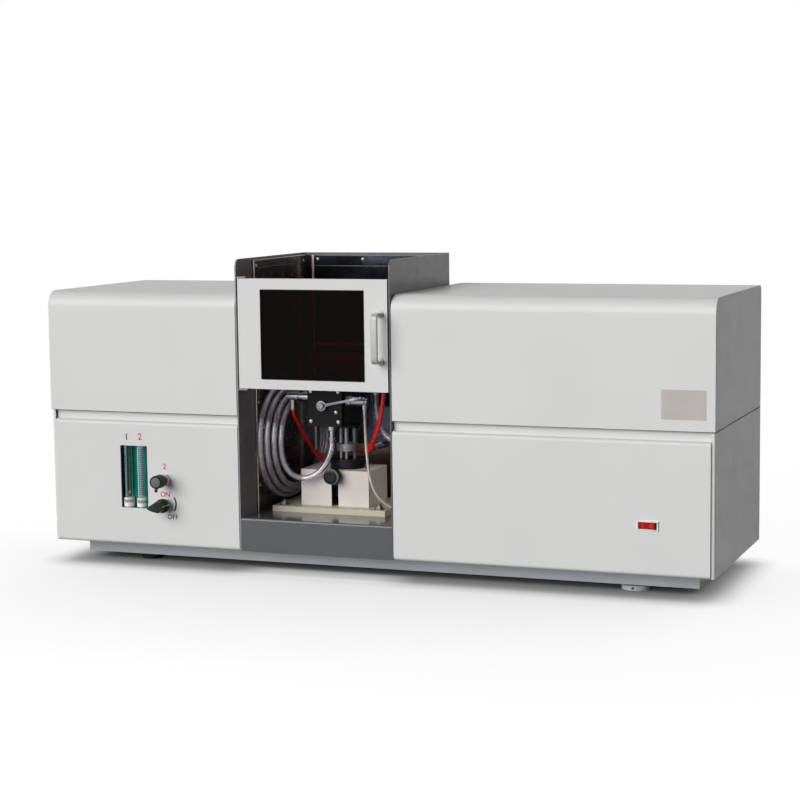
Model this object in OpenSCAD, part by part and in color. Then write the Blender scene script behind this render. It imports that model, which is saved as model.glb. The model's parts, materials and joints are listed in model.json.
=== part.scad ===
// Flame atomic absorption spectrophotometer: a lamp housing, a flame bay and an optics housing on one tray.
// Millimetres, +Z up, front towards -Y, origin on the table under the middle of the instrument.

/* [Housing] */
// Overall width
unit_w = 1020; // [960:1:1100]
// Depth of the housings, front panels to rear walls
body_d = 320; // [305:1:380]
// Width of the lamp housing on the left
left_w = 313; // [305:1:340]
// Width of the flame bay
bay_w = 242; // [240:1:280]
// Depth of the flame bay
bay_d = 252; // [250:1:275]
// Height of the lower housings
lower_h = 201; // [195:1:240]
// Height of the upper covers
cover_h = 180; // [165:1:230]
// Rise of the bay walls above the covers
bay_rise = 49; // [30:1:90]
// Radius of the covers' top front edge
cover_front_r = 22; // [8:1:30]
// Radius of the covers' top rear edge
cover_rear_r = 10; // [4:1:20]
// Sheet thickness of the housings
sheet = 1.5; // [1:0.1:2]
// Sheet thickness of the bay walls
bay_sheet = 2; // [1.5:0.1:2.5]
// Radius of the bay walls' top front corners
bay_corner_r = 12; // [4:1:20]
// Depth of the front panels' folded edges
panel_d = 14; // [13.5:0.5:18]
// Bend radius of the panels and side walls
bend_r = 5; // [3:0.5:8]
// Height of the finger recess under each cover
recess_h = 14; // [10:1:20]
// Depth of the finger recess
recess_d = 8; // [6:1:12]
// Width of the side walls' folded front lips
lip_w = 5.5; // [4:0.5:8]
// Set-back of the lips behind the front panels
lip_back = 3; // [1:0.5:8]
// Shadow gap between neighbouring housings
shadow_gap = 0.8; // [0.4:0.1:1]
// Shadow gap under the covers
split_gap = 1.5; // [1:0.1:2.5]

/* [Base] */
// Height of the base tray
tray_h = 24; // [20:1:30]
// Wall of the base tray
tray_t = 2; // [1.5:0.1:3]
// Inset of the tray from the housing ends
tray_inset = 31; // [20:1:60]
// Inset of the tray from the front panels
tray_front = 50; // [30:1:60]
// Inset of the tray from the rear walls
tray_rear = 20; // [10:1:40]
// Height of the feet
foot_h = 10; // [9:0.5:20]
// Radius of the feet
foot_r = 18; // [14:1:22]
// Radius of the levelling feet
level_r = 21; // [16:1:24]
// Distance of the feet from the housing ends
foot_x = 127; // [100:1:180]
// Distance of the feet from the housing's front and rear
foot_y = 76; // [72:1:110]
// Radius of a levelling foot's screw
foot_screw_r = 4; // [3:0.5:6]
// Thickness of a levelling foot's disc
foot_disc_h = 7; // [5:0.5:9]

/* [Door] */
// Height of the door
door_h = 160.5; // [130:0.5:180]
// Depth of the door's folded edges
door_d = 10; // [8:1:14]
// Height of the open space under the door
door_lift = 192; // [185:1:210]
// Gap between the door and the bay walls
door_gap = 2.2; // [2:0.1:3]
// Width of the door window
window_w = 162.5; // [120:0.5:180]
// Height of the door window
window_h = 131; // [90:0.5:145]
// Thickness of the window glass
window_t = 3; // [2:0.5:5]
// Height of the window's lower edge above the door's lower edge
window_sill = 14; // [8:0.5:16]
// Length of the handle
handle_l = 72; // [50:1:110]
// Reach of the handle
handle_reach = 26; // [20:1:35]
// Width of the handle strip
handle_w = 9; // [6:0.5:14]
// Thickness of the handle strip
handle_t = 4; // [3:0.5:6]
// Distance of the handle from the door's free edge
handle_x = 11; // [8:0.5:20]

/* [Flame bay] */
// Height of the sill
sill_h = 49.5; // [40:0.5:60]
// Standoff of the polished liners
liner_off = 3; // [2:0.5:4]
// Sheet thickness of the liners
liner_t = 1; // [0.8:0.1:1.5]
// Depth of the bare wall in front of the side liners
liner_front = 54; // [30:1:70]
// Thickness of the burner plate
plate_t = 8.5; // [6:0.5:10]
// Width of the lift box
box_w = 109; // [100:1:114]
// Depth of the lift box
box_d = 75; // [68:1:82]
// Height of the lift box
box_h = 54; // [50:1:60]
// Distance of the lift box behind the front panels
box_y = 90; // [88:1:95]
// Sheet thickness of the lift box
box_t = 2; // [1.5:0.1:3]
// Width of the clamp slot
slot_w = 11; // [8:0.5:14]
// Lowering travel of the burner
lift_travel = 15; // [5:1:18]

/* [Burner] */
// Distance of the burner axis behind the front panels
burner_y = 127; // [124:1:130]
// Radius of the black lift collar
collar_r = 26; // [22:0.5:28]
// Radius of the column ring
ring_r = 16; // [15:0.5:20]
// Height of the collar above the lift box
collar_rise = 14; // [10:1:20]
// Height of the spacers above the collar
spacer_h = 12; // [8:1:16]
// Height of the column ring
ring_h = 10.5; // [6:0.5:14]
// Height of the column posts
post_h = 25; // [20:0.5:35]
// Height of the spray chamber
chamber_h = 67; // [60:1:75]
// Width of the spray chamber
chamber_w = 59; // [52:1:62]
// Depth of the spray chamber
chamber_d = 66; // [60:1:75]
// Height of the burner neck
neck_h = 17; // [10:1:25]
// Length of the burner head
head_l = 120; // [80:1:130]
// Width of the burner head
head_w = 26; // [20:1:34]
// Height of the burner head
head_h = 21; // [15:1:30]
// Width of the burner slot
flame_slot = 0.6; // [0.4:0.1:1]
// Height of the light beam above the burner head
beam_gap = 8; // [5:1:15]

/* [Hoses] */
// Diameter of the drain hose
drain_d = 9; // [7:0.5:10]
// Turns of the drain coil
drain_turns = 3; // [1:1:4]
// Inner radius of the drain coil, to the hose's middle
drain_r = 62; // [55:1:66]
// Growth of the coil's radius in one turn
drain_grow = 7.6; // [6:0.1:9]
// Pitch of the drain coil along its axis
drain_pitch = 8; // [7:0.1:8.6]
// Lean of the coil's rear towards the burner
drain_lean = 25; // [0:1:25]
// Diameter of the red fuel hoses
fuel_d = 7; // [5:0.5:7.5]
// Diameter of the air hose
air_d = 9; // [6:0.5:10]
// Diameter of the sample tube
sample_d = 4; // [2:0.5:4.5]

/* [Gas panel] */
// Middle of the flowmeter window from the left end
flow_x = 139.5; // [120:0.5:160]
// Middle of the flowmeter window above the panel's lower edge
flow_z = 102.75; // [95:0.5:115]
// Width of the flowmeter window
flow_w = 45; // [42:0.5:60]
// Height of the flowmeter window
flow_h = 94.5; // [80:0.5:110]
// Distance between the flow tubes
flow_pitch = 22; // [20:0.5:23]
// Outer radius of a flow tube
flow_tube_r = 6; // [5:0.1:6.5]
// Bore radius of a flow tube
flow_bore_r = 3.6; // [3:0.1:4.5]
// Travel of the floats
float_travel = 60; // [30:1:64]
// Middle of both gas valves from the left end
valve_x = 191.5; // [185:0.5:230]
// Fuel valve above the panel's lower edge
fuel_z = 101; // [98:0.5:120]
// Shut-off valve above the panel's lower edge
shut_z = 63; // [55:0.5:70]
// Reach of the fuel knob in front of the panel
knob_reach = 31.5; // [30:0.5:60]
// Radius of the fuel knob
knob_r = 10; // [8:0.5:13]
// Length of the fuel knob
knob_l = 22.5; // [22:0.5:32]
// Radius of the valve spindles
spindle_r = 3; // [2:0.5:4]
// Radius of the shut-off lever's base
lever_r = 10.5; // [10:0.5:15]
// Length of the lever's tail
lever_tail = 17; // [16:1:30]
// Resting angle of the lever's pointer above level
lever_rest = 10; // [-40:1:40]

/* [Power switch] */
// Middle of the switch from the right end
switch_x = 92.4; // [60:0.5:150]
// Middle of the switch above the panel's lower edge
switch_z = 69.9; // [40:0.5:120]
// Width of the switch bezel
bezel_w = 30; // [28:0.5:40]
// Height of the switch bezel
bezel_h = 13; // [13:0.5:18]
// Tilt of the rocker to either side
rocker_tilt = 8; // [5:1:10]

/* [Lamps and optics] */
// Radius of a lamp
lamp_r = 19; // [15:0.5:20]
// Length of a lamp
lamp_l = 150; // [130:1:160]
// Radius of the turret's lamp circle
turret_r = 32; // [30:0.5:36]
// Number of lamps
lamp_n = 4; // [2:1:4]
// Outer radius of the lens barrels
barrel_r = 20; // [15:0.5:24]
// Bore radius of the lens barrels
barrel_bore = 13; // [10:0.5:13.5]
// Thickness of the bench plates
bench_t = 4; // [3:0.5:6]
// Depth of the bench plates under the covers' lower edge
bench_drop = 10; // [8:1:14]

/* [Rear side] */
// Reach of the gas inlets behind the rear wall
inlet_reach = 22; // [18:1:30]
// Radius of the gas inlets' hose nipples
nipple_r = 4; // [3:0.5:4.5]
// Size of the cooling fan
fan_size = 80; // [60:1:92]
// Depth of the cooling fan
fan_d = 25; // [20:1:32]
// Radius of the lid hinge's barrel
hinge_r = 4; // [3.5:0.1:6]

/* [Hidden] */

$fn = 48;

// Radial clearance of a shaft in its bore
run_fit = 0.05;
// Clearance between pieces that pass each other
pass_fit = 0.3;
// Overshoot of a cut past the face that it opens
over = 1;

// Places of the housings
left_x = -unit_w / 2;
right_x = unit_w / 2;
bay_x0 = left_x + left_w;
bay_x1 = bay_x0 + bay_w;
bay_cx = (bay_x0 + bay_x1) / 2;
front_y = (knob_reach - body_d - inlet_reach) / 2;
rear_y = front_y + body_d;
panel_back = front_y + panel_d;
lip_y = front_y + lip_back;
lip_r = 3;
lip_gap = 0.4;
body_z = foot_h + tray_h;
split_z = body_z + lower_h;
cover_z = split_z + cover_h;
bay_top = cover_z + bay_rise;
floor_z = body_z + sill_h;
bench_z = split_z - bench_drop;

// Flame bay, measured from the middle of the bay, its front and its floor
wall_in = bay_w / 2 - bay_sheet;
liner_in = wall_in - liner_off - liner_t;
back_in = bay_d - bay_sheet - liner_off - liner_t;
bay_h = bay_top - floor_z;

// Heights of the burner stack above the bay floor
box_top = plate_t + box_h;
collar_top = box_top + collar_rise;
ring_z = collar_top + spacer_h;
post_z = ring_z + ring_h;
flange_z = post_z + post_h;
flange_h = 4.5;
flange_r = 21;
socket_r = 11;
socket_h = 12;
chamber_z = flange_z + flange_h;
chamber_top = chamber_z + chamber_h;
head_z = chamber_top + neck_h;
beam_h = head_z + head_h + beam_gap;
beam_y = front_y + burner_y;
beam_z = floor_z + beam_h;

// Burner plate, lift box and spray chamber in plan
box_x = -6;
box_x0 = box_x - box_w / 2;
box_x1 = box_x + box_w / 2;
plate_x0 = 16.5 - liner_in;
plate_x1 = liner_in - 32.5;
plate_y0 = box_y - 22;
plate_y1 = box_y + box_d + 25;
chamber_x0 = -44;
chamber_x1 = chamber_x0 + chamber_w;
chamber_y0 = burner_y - 43;
chamber_y1 = chamber_y0 + chamber_d;
face_t = 8;
face_y = chamber_y0 - face_t;
face_w = 55;
face_h = 60;
face_x = chamber_x0 + 2 + face_w / 2;
face_z = chamber_z + 1 + face_h / 2;

// Lift: guide rods in the plate, slider inside the box
rod_r = 4;
rod_x = 12;
rod_top = box_top - 5.5;
slider_w = 64;
slider_d = 60;
slider_h = 20;
slider_y0 = burner_y - slider_d / 2;
stud_in = 11;
slider_z = rod_top - slider_h + 1;
knob_z = box_top - 7.5;
lift_knob_r = 12;
lift_knob_l = 16;
lift_knob_y = box_y - 2;
stud_r = 3;

// Clip lever on the chamber's face
clip_x = face_x - 3;
clip_z = face_z + 1.5;
clip_l = 66;
clip_w = 6;
clip_t = 4;
clip_rise = 12;
clip_r = 8;
clip_pin_r = 3;
clip_clear = 2.5;

// Fittings on the chamber
fitting_l = 14;
drain_at = [-12, 96];
drain_nipple = 18;
tee_y = chamber_y0 + 6;
tee_z = chamber_z + 44;
tee_r = 5.5;
tee_x0 = -80;
tee_drop_x = -72;
tee_drop = 14;
neb_y = chamber_y0 + 8;
neb_z = chamber_z + 38.5;
neb_r = 7;
neb_x1 = 48;
neb_drop_x = 43;
neb_drop = 17;
air_elbow_z = chamber_z + 62;
air_elbow_x = 49;
air_elbow_y = 122;
air_elbow_drop = 10;

// Routes of the hoses, from the middle of the bay, its front and its floor
hose_gap = 0.4;
coil_x = 34 - liner_in;
coil_y = burner_y - 1;
coil_z = 100.5;
drain_lead = [
    [drain_at.x, drain_at.y, chamber_z - drain_nipple - hose_gap], [-12, 96, 104.5], [-12, 94.7, 97.5],
    [-12.8, 90.7, 87.5], [-16, 85, 75.5], [-24.5, 80, 63], [-36.5, 76.5, 54], [coil_x + 30.5, 74, 51],
    [coil_x + 16.5, 71, 55.2], [coil_x + 6, 68.5, 66.5], [coil_x + 1, 66, 83]
];
fuel_out = [-42, 42];
pilot_out = [8, 80];
pilot_in = [104, 218];
air_in = [122, 103];
hose_back = back_in - fitting_l - hose_gap;
hose_side = liner_in - fitting_l - hose_gap;
fuel_route = [
    [tee_drop_x, tee_y, tee_z - tee_drop - hose_gap], [-72, 90, 153], [-71.8, 92.3, 146], [-71, 99, 136.5],
    [-69.3, 113, 120], [-67, 134, 98], [-64, 152, 79], [-61, 162, 72], [-58.5, 170, 63.5], [-55, 179, 54],
    [-50, 190, 46.5], [-45, 204, 42.8], [-42, 218, 42], [fuel_out.x, hose_back, fuel_out.y]
];
pilot_route = [
    [hose_side, pilot_in.x, pilot_in.y], [liner_in - 21, 104, 218], [liner_in - 30, 104, 215.5],
    [liner_in - 38, 104, 208.5], [liner_in - 43.5, 104, 198], [liner_in - 46, 104.3, 186],
    [liner_in - 47.5, 105, 172], [62.5, 107, 145], [55.5, 109.5, 122], [47.5, 113.5, 104.5],
    [39.5, 120.5, 93], [30, 131, 87], [20.5, 144, 84], [13.5, 161, 82], [9.5, 184, 80.5], [8, 210, 80],
    [pilot_out.x, hose_back, pilot_out.y]
];
air_route = [
    [air_elbow_x, air_elbow_y, air_elbow_z - air_elbow_drop - hose_gap], [49, 122, 172], [49.3, 121.5, 155],
    [52.5, 121, 136], [60, 121, 119], [liner_in - 43, 121.3, 108], [liner_in - 29, 122, 103.5],
    [liner_in - 21, 122, 103], [hose_side, air_in.x, air_in.y]
];
sample_route = [
    [neb_drop_x, neb_y, neb_z - neb_drop - hose_gap], [43, 92, 143], [43.6, 92, 122], [46, 89, 96],
    [51, 84, 67], [57, 81, 46], [65, 81, 29.5], [75, 84.5, 18], [liner_in - 30, 90, 10.5],
    [liner_in - 21, 95.5, 5.4], [liner_in - 13, 100, 2.9], [liner_in - 7, 103, 2.4]
];
lead_x = -60;
coil_rings = 24;
route_rings = 4;
hose_sides = 6;

// Door, measured from the middle of the bay, its front and its floor
door_x0 = -wall_in + door_gap;
door_x1 = wall_in - door_gap;
door_top = door_lift + door_h;
pivot_in = 4;
pivot_x = door_x0 + pivot_in;
pivot_y = pivot_in;
pivot_r = 2;
pivot_l = 8;
lug_t = 2.5;
lug_w = 15;
window_z = door_lift + window_sill;
glass_lap = 4;
handle_z = door_lift + door_h * 0.484;
handle_bend = 8;
catch_h = 24;
catch_w = 10;
catch_d = 12;

// Gas panel in the row frame
flow_cx = left_x + flow_x;
flow_cz = body_z + flow_z;
flow_wall = 5;
flow_depth = 30;
flow_tube_y = front_y + 9.5;
flow_tube_dx = -3.5;
flow_cap = 4;
flow_seat = 20;
flow_z0 = flow_cz - flow_h / 2;
flow_z1 = flow_cz + flow_h / 2;
float_r = flow_bore_r - 0.4;
collar_flow_r = flow_tube_r + 1.3;
collar_flow_h = 15;
valve_cx = left_x + valve_x;
fuel_cz = body_z + fuel_z;
shut_cz = body_z + shut_z;
valve_body_r = 12;
valve_body_d = 40;
valve_neck_r = 5;
fuel_hub = knob_reach - knob_l;
hub_r = 7.5;
shut_hub = 8;
lever_base_t = 7;
lever_grip_t = 14;

// Power switch
switch_cx = right_x - switch_x;
switch_cz = body_z + switch_z;
bezel_t = 2;
bezel_rim = 1.9;
bezel_body_d = 20;
cavity_w = bezel_w - 2 * bezel_rim;
cavity_h = bezel_h - 2 * bezel_rim + 0.6;
rocker_w = cavity_w - 2.2;
rocker_h = cavity_h - 2 * pass_fit;
rocker_y = front_y + 3;
rocker_pin_r = 1;

// Lamp turret, measured along X from the bay's left wall
lamp_x1 = bay_x0 - 58;
lamp_x0 = lamp_x1 - lamp_l;
turret_z = beam_z - turret_r;
turret_disc_r = turret_r + lamp_r + 5;
turret_disc_t = 8;
turret_shaft_r = 6;
turret_disc_a = lamp_x0 + 16;
turret_disc_b = lamp_x0 + 76;
stand_t = 12;
stand_x1 = lamp_x0 - 14;
stand_x0 = stand_x1 - stand_t;
motor_r = 21;
motor_l = 38;

// Monochromator, measured from the bay's right wall
mono_x0 = bay_x1 + 44;
mono_l = 350;
mono_y0 = front_y + 50;
mono_d = 190;
mono_t = 10;
exit_y = beam_y + mono_d * 0.395;
grating_x = mono_x0 + 95;
grating_y = (beam_y + exit_y) / 2;
grating_pin_r = 5;

// Electronics in the lower right housing
supply_w = 98;
supply_d = 160;
supply_h = 42;
supply_x1 = right_x - 45;
supply_x0 = supply_x1 - supply_w;
board_x0 = bay_x1 + 60;
board_w = supply_x0 - 32 - board_x0;
board_d = 150;
board_lift = 10;
boards_y = front_y + 70;

// Housing inserts at the rear
fan_cx = right_x - 200;
fan_cz = body_z + 110;
fan_r = fan_size / 2 - 3;
fan_pin_r = 2;
power_cx = right_x - 70;
power_cz = body_z + 60;
gas_in_x = [left_x + 80, left_x + 130];
gas_in_z = body_z + 80;
hinge_x = [left_x + 50, bay_x0 - 60];
hinge_y = rear_y + hinge_r;
knuckle_l = 16;
hinge_pin_r = hinge_r / 2;
leaf_h = 20;

// Box between two opposite corners
module slab(lo, hi) {
    translate(lo) cube(hi - lo);
}

// Cylinders along the three axes
module rod_x(r, x0, x1, y, z) {
    translate([x0, y, z]) rotate([0, 90, 0]) cylinder(r = r, h = x1 - x0);
}

module rod_y(r, y0, y1, x, z) {
    translate([x, y1, z]) rotate([90, 0, 0]) cylinder(r = r, h = y1 - y0);
}

module rod_z(r, z0, z1, x, y) {
    translate([x, y, z0]) cylinder(r = r, h = z1 - z0);
}

// A (y, z) outline drawn out from x0 to x1
module along_x(x0, x1) {
    translate([x0, 0, 0]) rotate([90, 0, 90]) linear_extrude(x1 - x0) children();
}

// An (x, z) outline drawn out from y0 to y1
module along_y(y0, y1) {
    translate([0, y1, 0]) rotate([90, 0, 0]) linear_extrude(y1 - y0) children();
}

// An (x, y) outline drawn out from z0 to z1
module along_z(z0, z1) {
    translate([0, 0, z0]) linear_extrude(z1 - z0) children();
}

// Rectangle with its own radius at each corner: low left, low right, high right, high left
module soft_rect(lo, hi, r) {
    corners = [lo, [hi.x, lo.y], hi, [lo.x, hi.y]];
    difference() {
        translate(lo) square(hi - lo);
        for (k = [0:3]) if (r[k] > 0) {
            translate(corners[k]) rotate(90 * k) difference() {
                translate([-over, -over]) square(r[k] + over);
                translate([r[k], r[k]]) circle(r[k]);
            }
        }
    }
}

// Places in the flame bay: from its middle, its front and its floor
module in_bay() {
    translate([bay_cx, front_y, floor_z]) children();
}

// Unit vector
function unit(v) = v / norm(v);

// Point on the curve through a list of points, between points i and i + 1
function curve_at(p, i, t) =
    let (
        n = len(p) - 1,
        a = p[max(i - 1, 0)],
        b = p[i],
        c = p[i + 1],
        d = p[min(i + 2, n)]
    )
    b + 0.5 * t * ((c - a) + t * ((2 * a - 5 * b + 4 * c - d) + t * (3 * b - a - 3 * c + d)));

// Smooth route through hand-placed points
function route(p) = concat(
    [for (i = [0:len(p) - 2]) for (k = [0:route_rings - 1]) curve_at(p, i, k / route_rings)],
    [p[len(p) - 1]]
);

// Turns of the drain coil: from its foremost point, up, back and down again, growing towards the left wall
function coil_point(a) =
    let (r = drain_r + drain_grow * a / 360, lean = drain_lean * pow((1 - cos(a)) / 2, 2))
    [coil_x - drain_pitch * a / 360 + lean, coil_y - r * cos(a), coil_z + r * sin(a)];

coil_end = 360 * drain_turns + 90;
coil_step = 360 / coil_rings;
coil_last = coil_point(coil_end);
drain_out = [coil_last.x + 5, coil_last.z];

// Whole drain route: lead from the chamber, turns, and a straight run to the back liner
drain_start = route(concat(drain_lead, [coil_point(0), coil_point(60)]));
drain_path = concat(
    [for (p = drain_start) if (p.z < coil_z - 1 || p.x > lead_x) p],
    [for (a = [0:coil_step:coil_end - 1]) coil_point(a)],
    [coil_last, coil_last + [3, 24, 0], [drain_out.x, hose_back - drain_d - 20, drain_out.y]],
    [for (y = [hose_back - drain_d, hose_back]) [drain_out.x, y, drain_out.y]]
);

// Least clear gap between stretches of one hose, over pairs of points that lie apart along it
function self_gap(p, d, skip) = min([
    for (i = [0:len(p) - 1 - skip]) min([for (j = [i + skip:len(p) - 1]) norm(p[i] - p[j])]) - d
]);
coil_gap_skip = 10;
echo(drain_hose_least_gap = self_gap(drain_path, drain_d, coil_gap_skip));

// Tube swept along points, with rings that turn as little as possible
module tube(p, d) {
    last = len(p) - 1;
    t = [for (i = [0:last]) unit(p[min(i + 1, last)] - p[max(i - 1, 0)])];
    first = abs(t[0].x) < 0.9 ? [1, 0, 0] : [0, 1, 0];
    side = [
        for (i = 0, n = unit(cross(t[0], first)); i <= last;
            i = i + 1, n = unit(n - (n * t[min(i, last)]) * t[min(i, last)])) n
    ];
    points = [
        for (i = [0:last]) for (k = [0:hose_sides - 1])
            let (a = 360 * k / hose_sides)
            p[i] + d / 2 * (cos(a) * side[i] + sin(a) * cross(t[i], side[i]))
    ];
    function ring(i, k) = i * hose_sides + k % hose_sides;
    walls = [
        for (i = [0:last - 1]) for (k = [0:hose_sides - 1]) each [
            [ring(i, k), ring(i + 1, k), ring(i + 1, k + 1)],
            [ring(i, k), ring(i + 1, k + 1), ring(i, k + 1)]
        ]
    ];
    ends = [
        for (k = [1:hose_sides - 2]) each [
            [ring(0, 0), ring(0, k), ring(0, k + 1)],
            [ring(last, 0), ring(last, k + 1), ring(last, k)]
        ]
    ];
    polyhedron(points = points, faces = concat(walls, ends));
}

// Base: open-topped tray that carries both housings and the bay
function foot_places(x) = [[x, front_y + foot_y], [x, rear_y - foot_y]];

module base_tray() {
    boss_r = foot_screw_r + 5;
    lo = [left_x + tray_inset, front_y + tray_front, foot_h];
    hi = [right_x - tray_inset, rear_y - tray_rear, body_z];
    color("#9a9da0") difference() {
        union() {
            difference() {
                slab(lo, hi);
                slab(lo + [tray_t, tray_t, tray_t], hi + [-tray_t, -tray_t, over]);
            }
            for (p = foot_places(right_x - foot_x)) rod_z(boss_r, foot_h, body_z, p.x, p.y);
        }
        for (p = foot_places(right_x - foot_x)) {
            rod_z(foot_screw_r + run_fit, foot_h - over, body_z + over, p.x, p.y);
        }
    }
}

module rubber_feet() {
    color("#1b1b1c") for (p = foot_places(left_x + foot_x)) {
        translate([p.x, p.y, 0]) cylinder(r1 = foot_r - 2, r2 = foot_r, h = foot_h);
    }
}

module levelling_foot(p) {
    hole_r = 2;
    color("#b4b6b8") difference() {
        union() {
            rod_z(level_r, 0, foot_disc_h, p.x, p.y);
            rod_z(foot_screw_r, foot_disc_h, body_z - 4, p.x, p.y);
            rod_z(foot_screw_r + 4, foot_disc_h, foot_h - pass_fit, p.x, p.y);
        }
        rod_y(hole_r, p.y - level_r - over, p.y + level_r + over, p.x, foot_disc_h / 2);
    }
}

module levelling_foot_front() {
    levelling_foot(foot_places(right_x - foot_x)[0]);
}

module levelling_foot_rear() {
    levelling_foot(foot_places(right_x - foot_x)[1]);
}

// Lower housings: folded trays, open to the front and the top; side is -1 for an outer wall on the left
module chassis(x0, x1, side) {
    outer_x = side < 0 ? x0 : x1;
    inner_x = side < 0 ? x1 - sheet : x0;
    wall_top = split_z - split_gap;
    slab([x0, panel_back, body_z], [x1, rear_y, body_z + sheet]);
    slab([inner_x, panel_back, body_z], [inner_x + sheet, rear_y, wall_top]);
    slab([x0, rear_y - sheet, body_z], [x1, rear_y, split_z]);
    translate([outer_x, 0, 0]) mirror([side < 0 ? 0 : 1, 0, 0]) along_z(body_z, wall_top) difference() {
        soft_rect([0, lip_y], [lip_w, rear_y], [lip_r, 0, 0, 0]);
        soft_rect([sheet, lip_y + sheet], [lip_w + over, rear_y + over], [lip_r - sheet, 0, 0, 0]);
    }
}

module left_chassis() {
    color("#d2d2d0") difference() {
        chassis(left_x, bay_x0 - shadow_gap, -1);
        for (x = gas_in_x) rod_y(nipple_r + 1.2, rear_y - sheet - over, rear_y + over, x, gas_in_z);
    }
}

module right_chassis() {
    slots = 9;
    slot_pitch = fan_size / (slots + 1);
    color("#d2d2d0") difference() {
        chassis(bay_x1 + shadow_gap, right_x, 1);
        for (k = [1:slots]) {
            x = fan_cx - fan_size / 2 + k * slot_pitch;
            slab([x - 2, rear_y - sheet - over, fan_cz - fan_size * 0.35],
                [x + 2, rear_y + over, fan_cz + fan_size * 0.35]);
        }
        slab([power_cx - 14, rear_y - sheet - over, power_cz - 10.5],
            [power_cx + 14, rear_y + over, power_cz + 10.5]);
    }
}

// Front panels: folded pans with a stepped-back finger recess along the top
module panel_outline(in) {
    r = bend_r - in;
    back = in > 0 ? panel_back + over : panel_back;
    soft_rect([front_y + in, body_z + in], [back, split_z - recess_h - in], [r, 0, 0, r]);
}

module front_panel(x0, x1) {
    along_x(x0, x1) {
        difference() {
            panel_outline(0);
            panel_outline(sheet);
        }
        translate([front_y + recess_d, split_z - recess_h - sheet])
            square([sheet, recess_h + sheet - split_gap]);
    }
    along_x(x0, x0 + sheet) panel_outline(0);
    along_x(x1 - sheet, x1) panel_outline(0);
}

module left_front_panel() {
    color("#dcdcda") difference() {
        front_panel(left_x + lip_w + lip_gap, bay_x0 - shadow_gap);
        slab([flow_cx - flow_w / 2, front_y - over, flow_cz - flow_h / 2],
            [flow_cx + flow_w / 2, front_y + sheet + over, flow_cz + flow_h / 2]);
        for (z = [fuel_cz, shut_cz]) {
            rod_y(valve_neck_r + pass_fit, front_y - over, front_y + sheet + over, valve_cx, z);
        }
    }
}

module right_front_panel() {
    color("#dcdcda") difference() {
        front_panel(bay_x1 + shadow_gap, right_x - lip_w - lip_gap);
        slab([switch_cx - cavity_w / 2 - 1, front_y - over, switch_cz - cavity_h / 2 - 1],
            [switch_cx + cavity_w / 2 + 1, front_y + sheet + over, switch_cz + cavity_h / 2 + 1]);
    }
}

// Benches inside the housings, each on four legs
module bench(x0, x1) {
    leg_r = 8;
    y0 = front_y + 42;
    y1 = rear_y - 28;
    slab([x0, y0, bench_z - bench_t], [x1, y1, bench_z]);
    for (x = [x0 + leg_r, x1 - leg_r]) for (y = [y0 + leg_r, y1 - leg_r]) {
        rod_z(leg_r, body_z + sheet, bench_z - bench_t, x, y);
    }
}

module bench_plates() {
    color("#8b8f92") {
        bench(left_x + 18, bay_x0 - 6);
        bench(bay_x1 + 6, right_x - 18);
    }
}

// Upper covers: folded hoods, open below, and closed by the bay's own walls on the inner side
module cover_outline(in) {
    low = in > 0 ? split_z - over : split_z;
    radii = [0, 0, cover_rear_r - in, cover_front_r - in];
    soft_rect([front_y + in, low], [rear_y - in, cover_z - in], radii);
}

module cover(x0, x1, end_x, inner_x) {
    rear_plate = front_y + bay_d - 10;
    along_x(x0, x1) difference() {
        cover_outline(0);
        cover_outline(sheet);
    }
    along_x(end_x, end_x + sheet) cover_outline(0);
    along_x(inner_x, inner_x + sheet) intersection() {
        cover_outline(0);
        translate([rear_plate, split_z]) square([rear_y - rear_plate, cover_h]);
    }
}

module lamp_cover() {
    color("#e0e0de") {
        difference() {
            union() {
                cover(left_x, bay_x0 - shadow_gap, left_x, bay_x0 - shadow_gap - sheet);
                for (x = hinge_x) {
                    x0 = x + pass_fit;
                    x1 = x + knuckle_l - pass_fit;
                    rod_x(hinge_r, x0, x1, hinge_y, split_z);
                    slab([x0, rear_y, split_z], [x1, rear_y + sheet, split_z + leaf_h]);
                }
            }
            for (x = hinge_x) rod_x(hinge_pin_r + run_fit, x, x + knuckle_l, hinge_y, split_z);
        }
    }
}

module lid_hinges() {
    leaf_y = rear_y + sheet;
    leaf_z = split_z - leaf_h;
    color("#b4b6b8") for (x = hinge_x) {
        for (x0 = [x - knuckle_l, x + knuckle_l]) {
            rod_x(hinge_r, x0, x0 + knuckle_l, hinge_y, split_z);
            slab([x0, rear_y, leaf_z], [x0 + knuckle_l, leaf_y, split_z]);
        }
        rod_x(hinge_pin_r, x - knuckle_l, x + 2 * knuckle_l, hinge_y, split_z);
        slab([x - knuckle_l, rear_y, leaf_z], [x + 2 * knuckle_l, leaf_y, split_z - hinge_r - over]);
    }
}

module optics_cover() {
    color("#e0e0de") cover(bay_x1 + shadow_gap, right_x, right_x - sheet, bay_x1 + shadow_gap);
}

// Flame bay: two side walls, a stepped back wall and a floor with the front sill
module bay_wall(x0) {
    along_x(x0, x0 + bay_sheet) difference() {
        soft_rect([front_y, body_z], [front_y + bay_d, bay_top], [0, 0, 0, bay_corner_r]);
        translate([beam_y, beam_z]) circle(barrel_r + pass_fit);
    }
}

module bay_left_wall() {
    color("#5e5e60") bay_wall(bay_x0);
}

module bay_right_wall() {
    color("#5e5e60") bay_wall(bay_x1 - bay_sheet);
}

module bay_back_wall() {
    y0 = front_y + bay_d - bay_sheet;
    z0 = split_z - bay_sheet;
    color("#5e5e60") along_x(bay_x0 + bay_sheet, bay_x1 - bay_sheet) {
        translate([y0, z0]) square([bay_sheet, bay_top - z0]);
        translate([y0, z0]) square([rear_y - y0, bay_sheet]);
        translate([rear_y - bay_sheet, body_z]) square([bay_sheet, lower_h]);
    }
}

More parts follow.
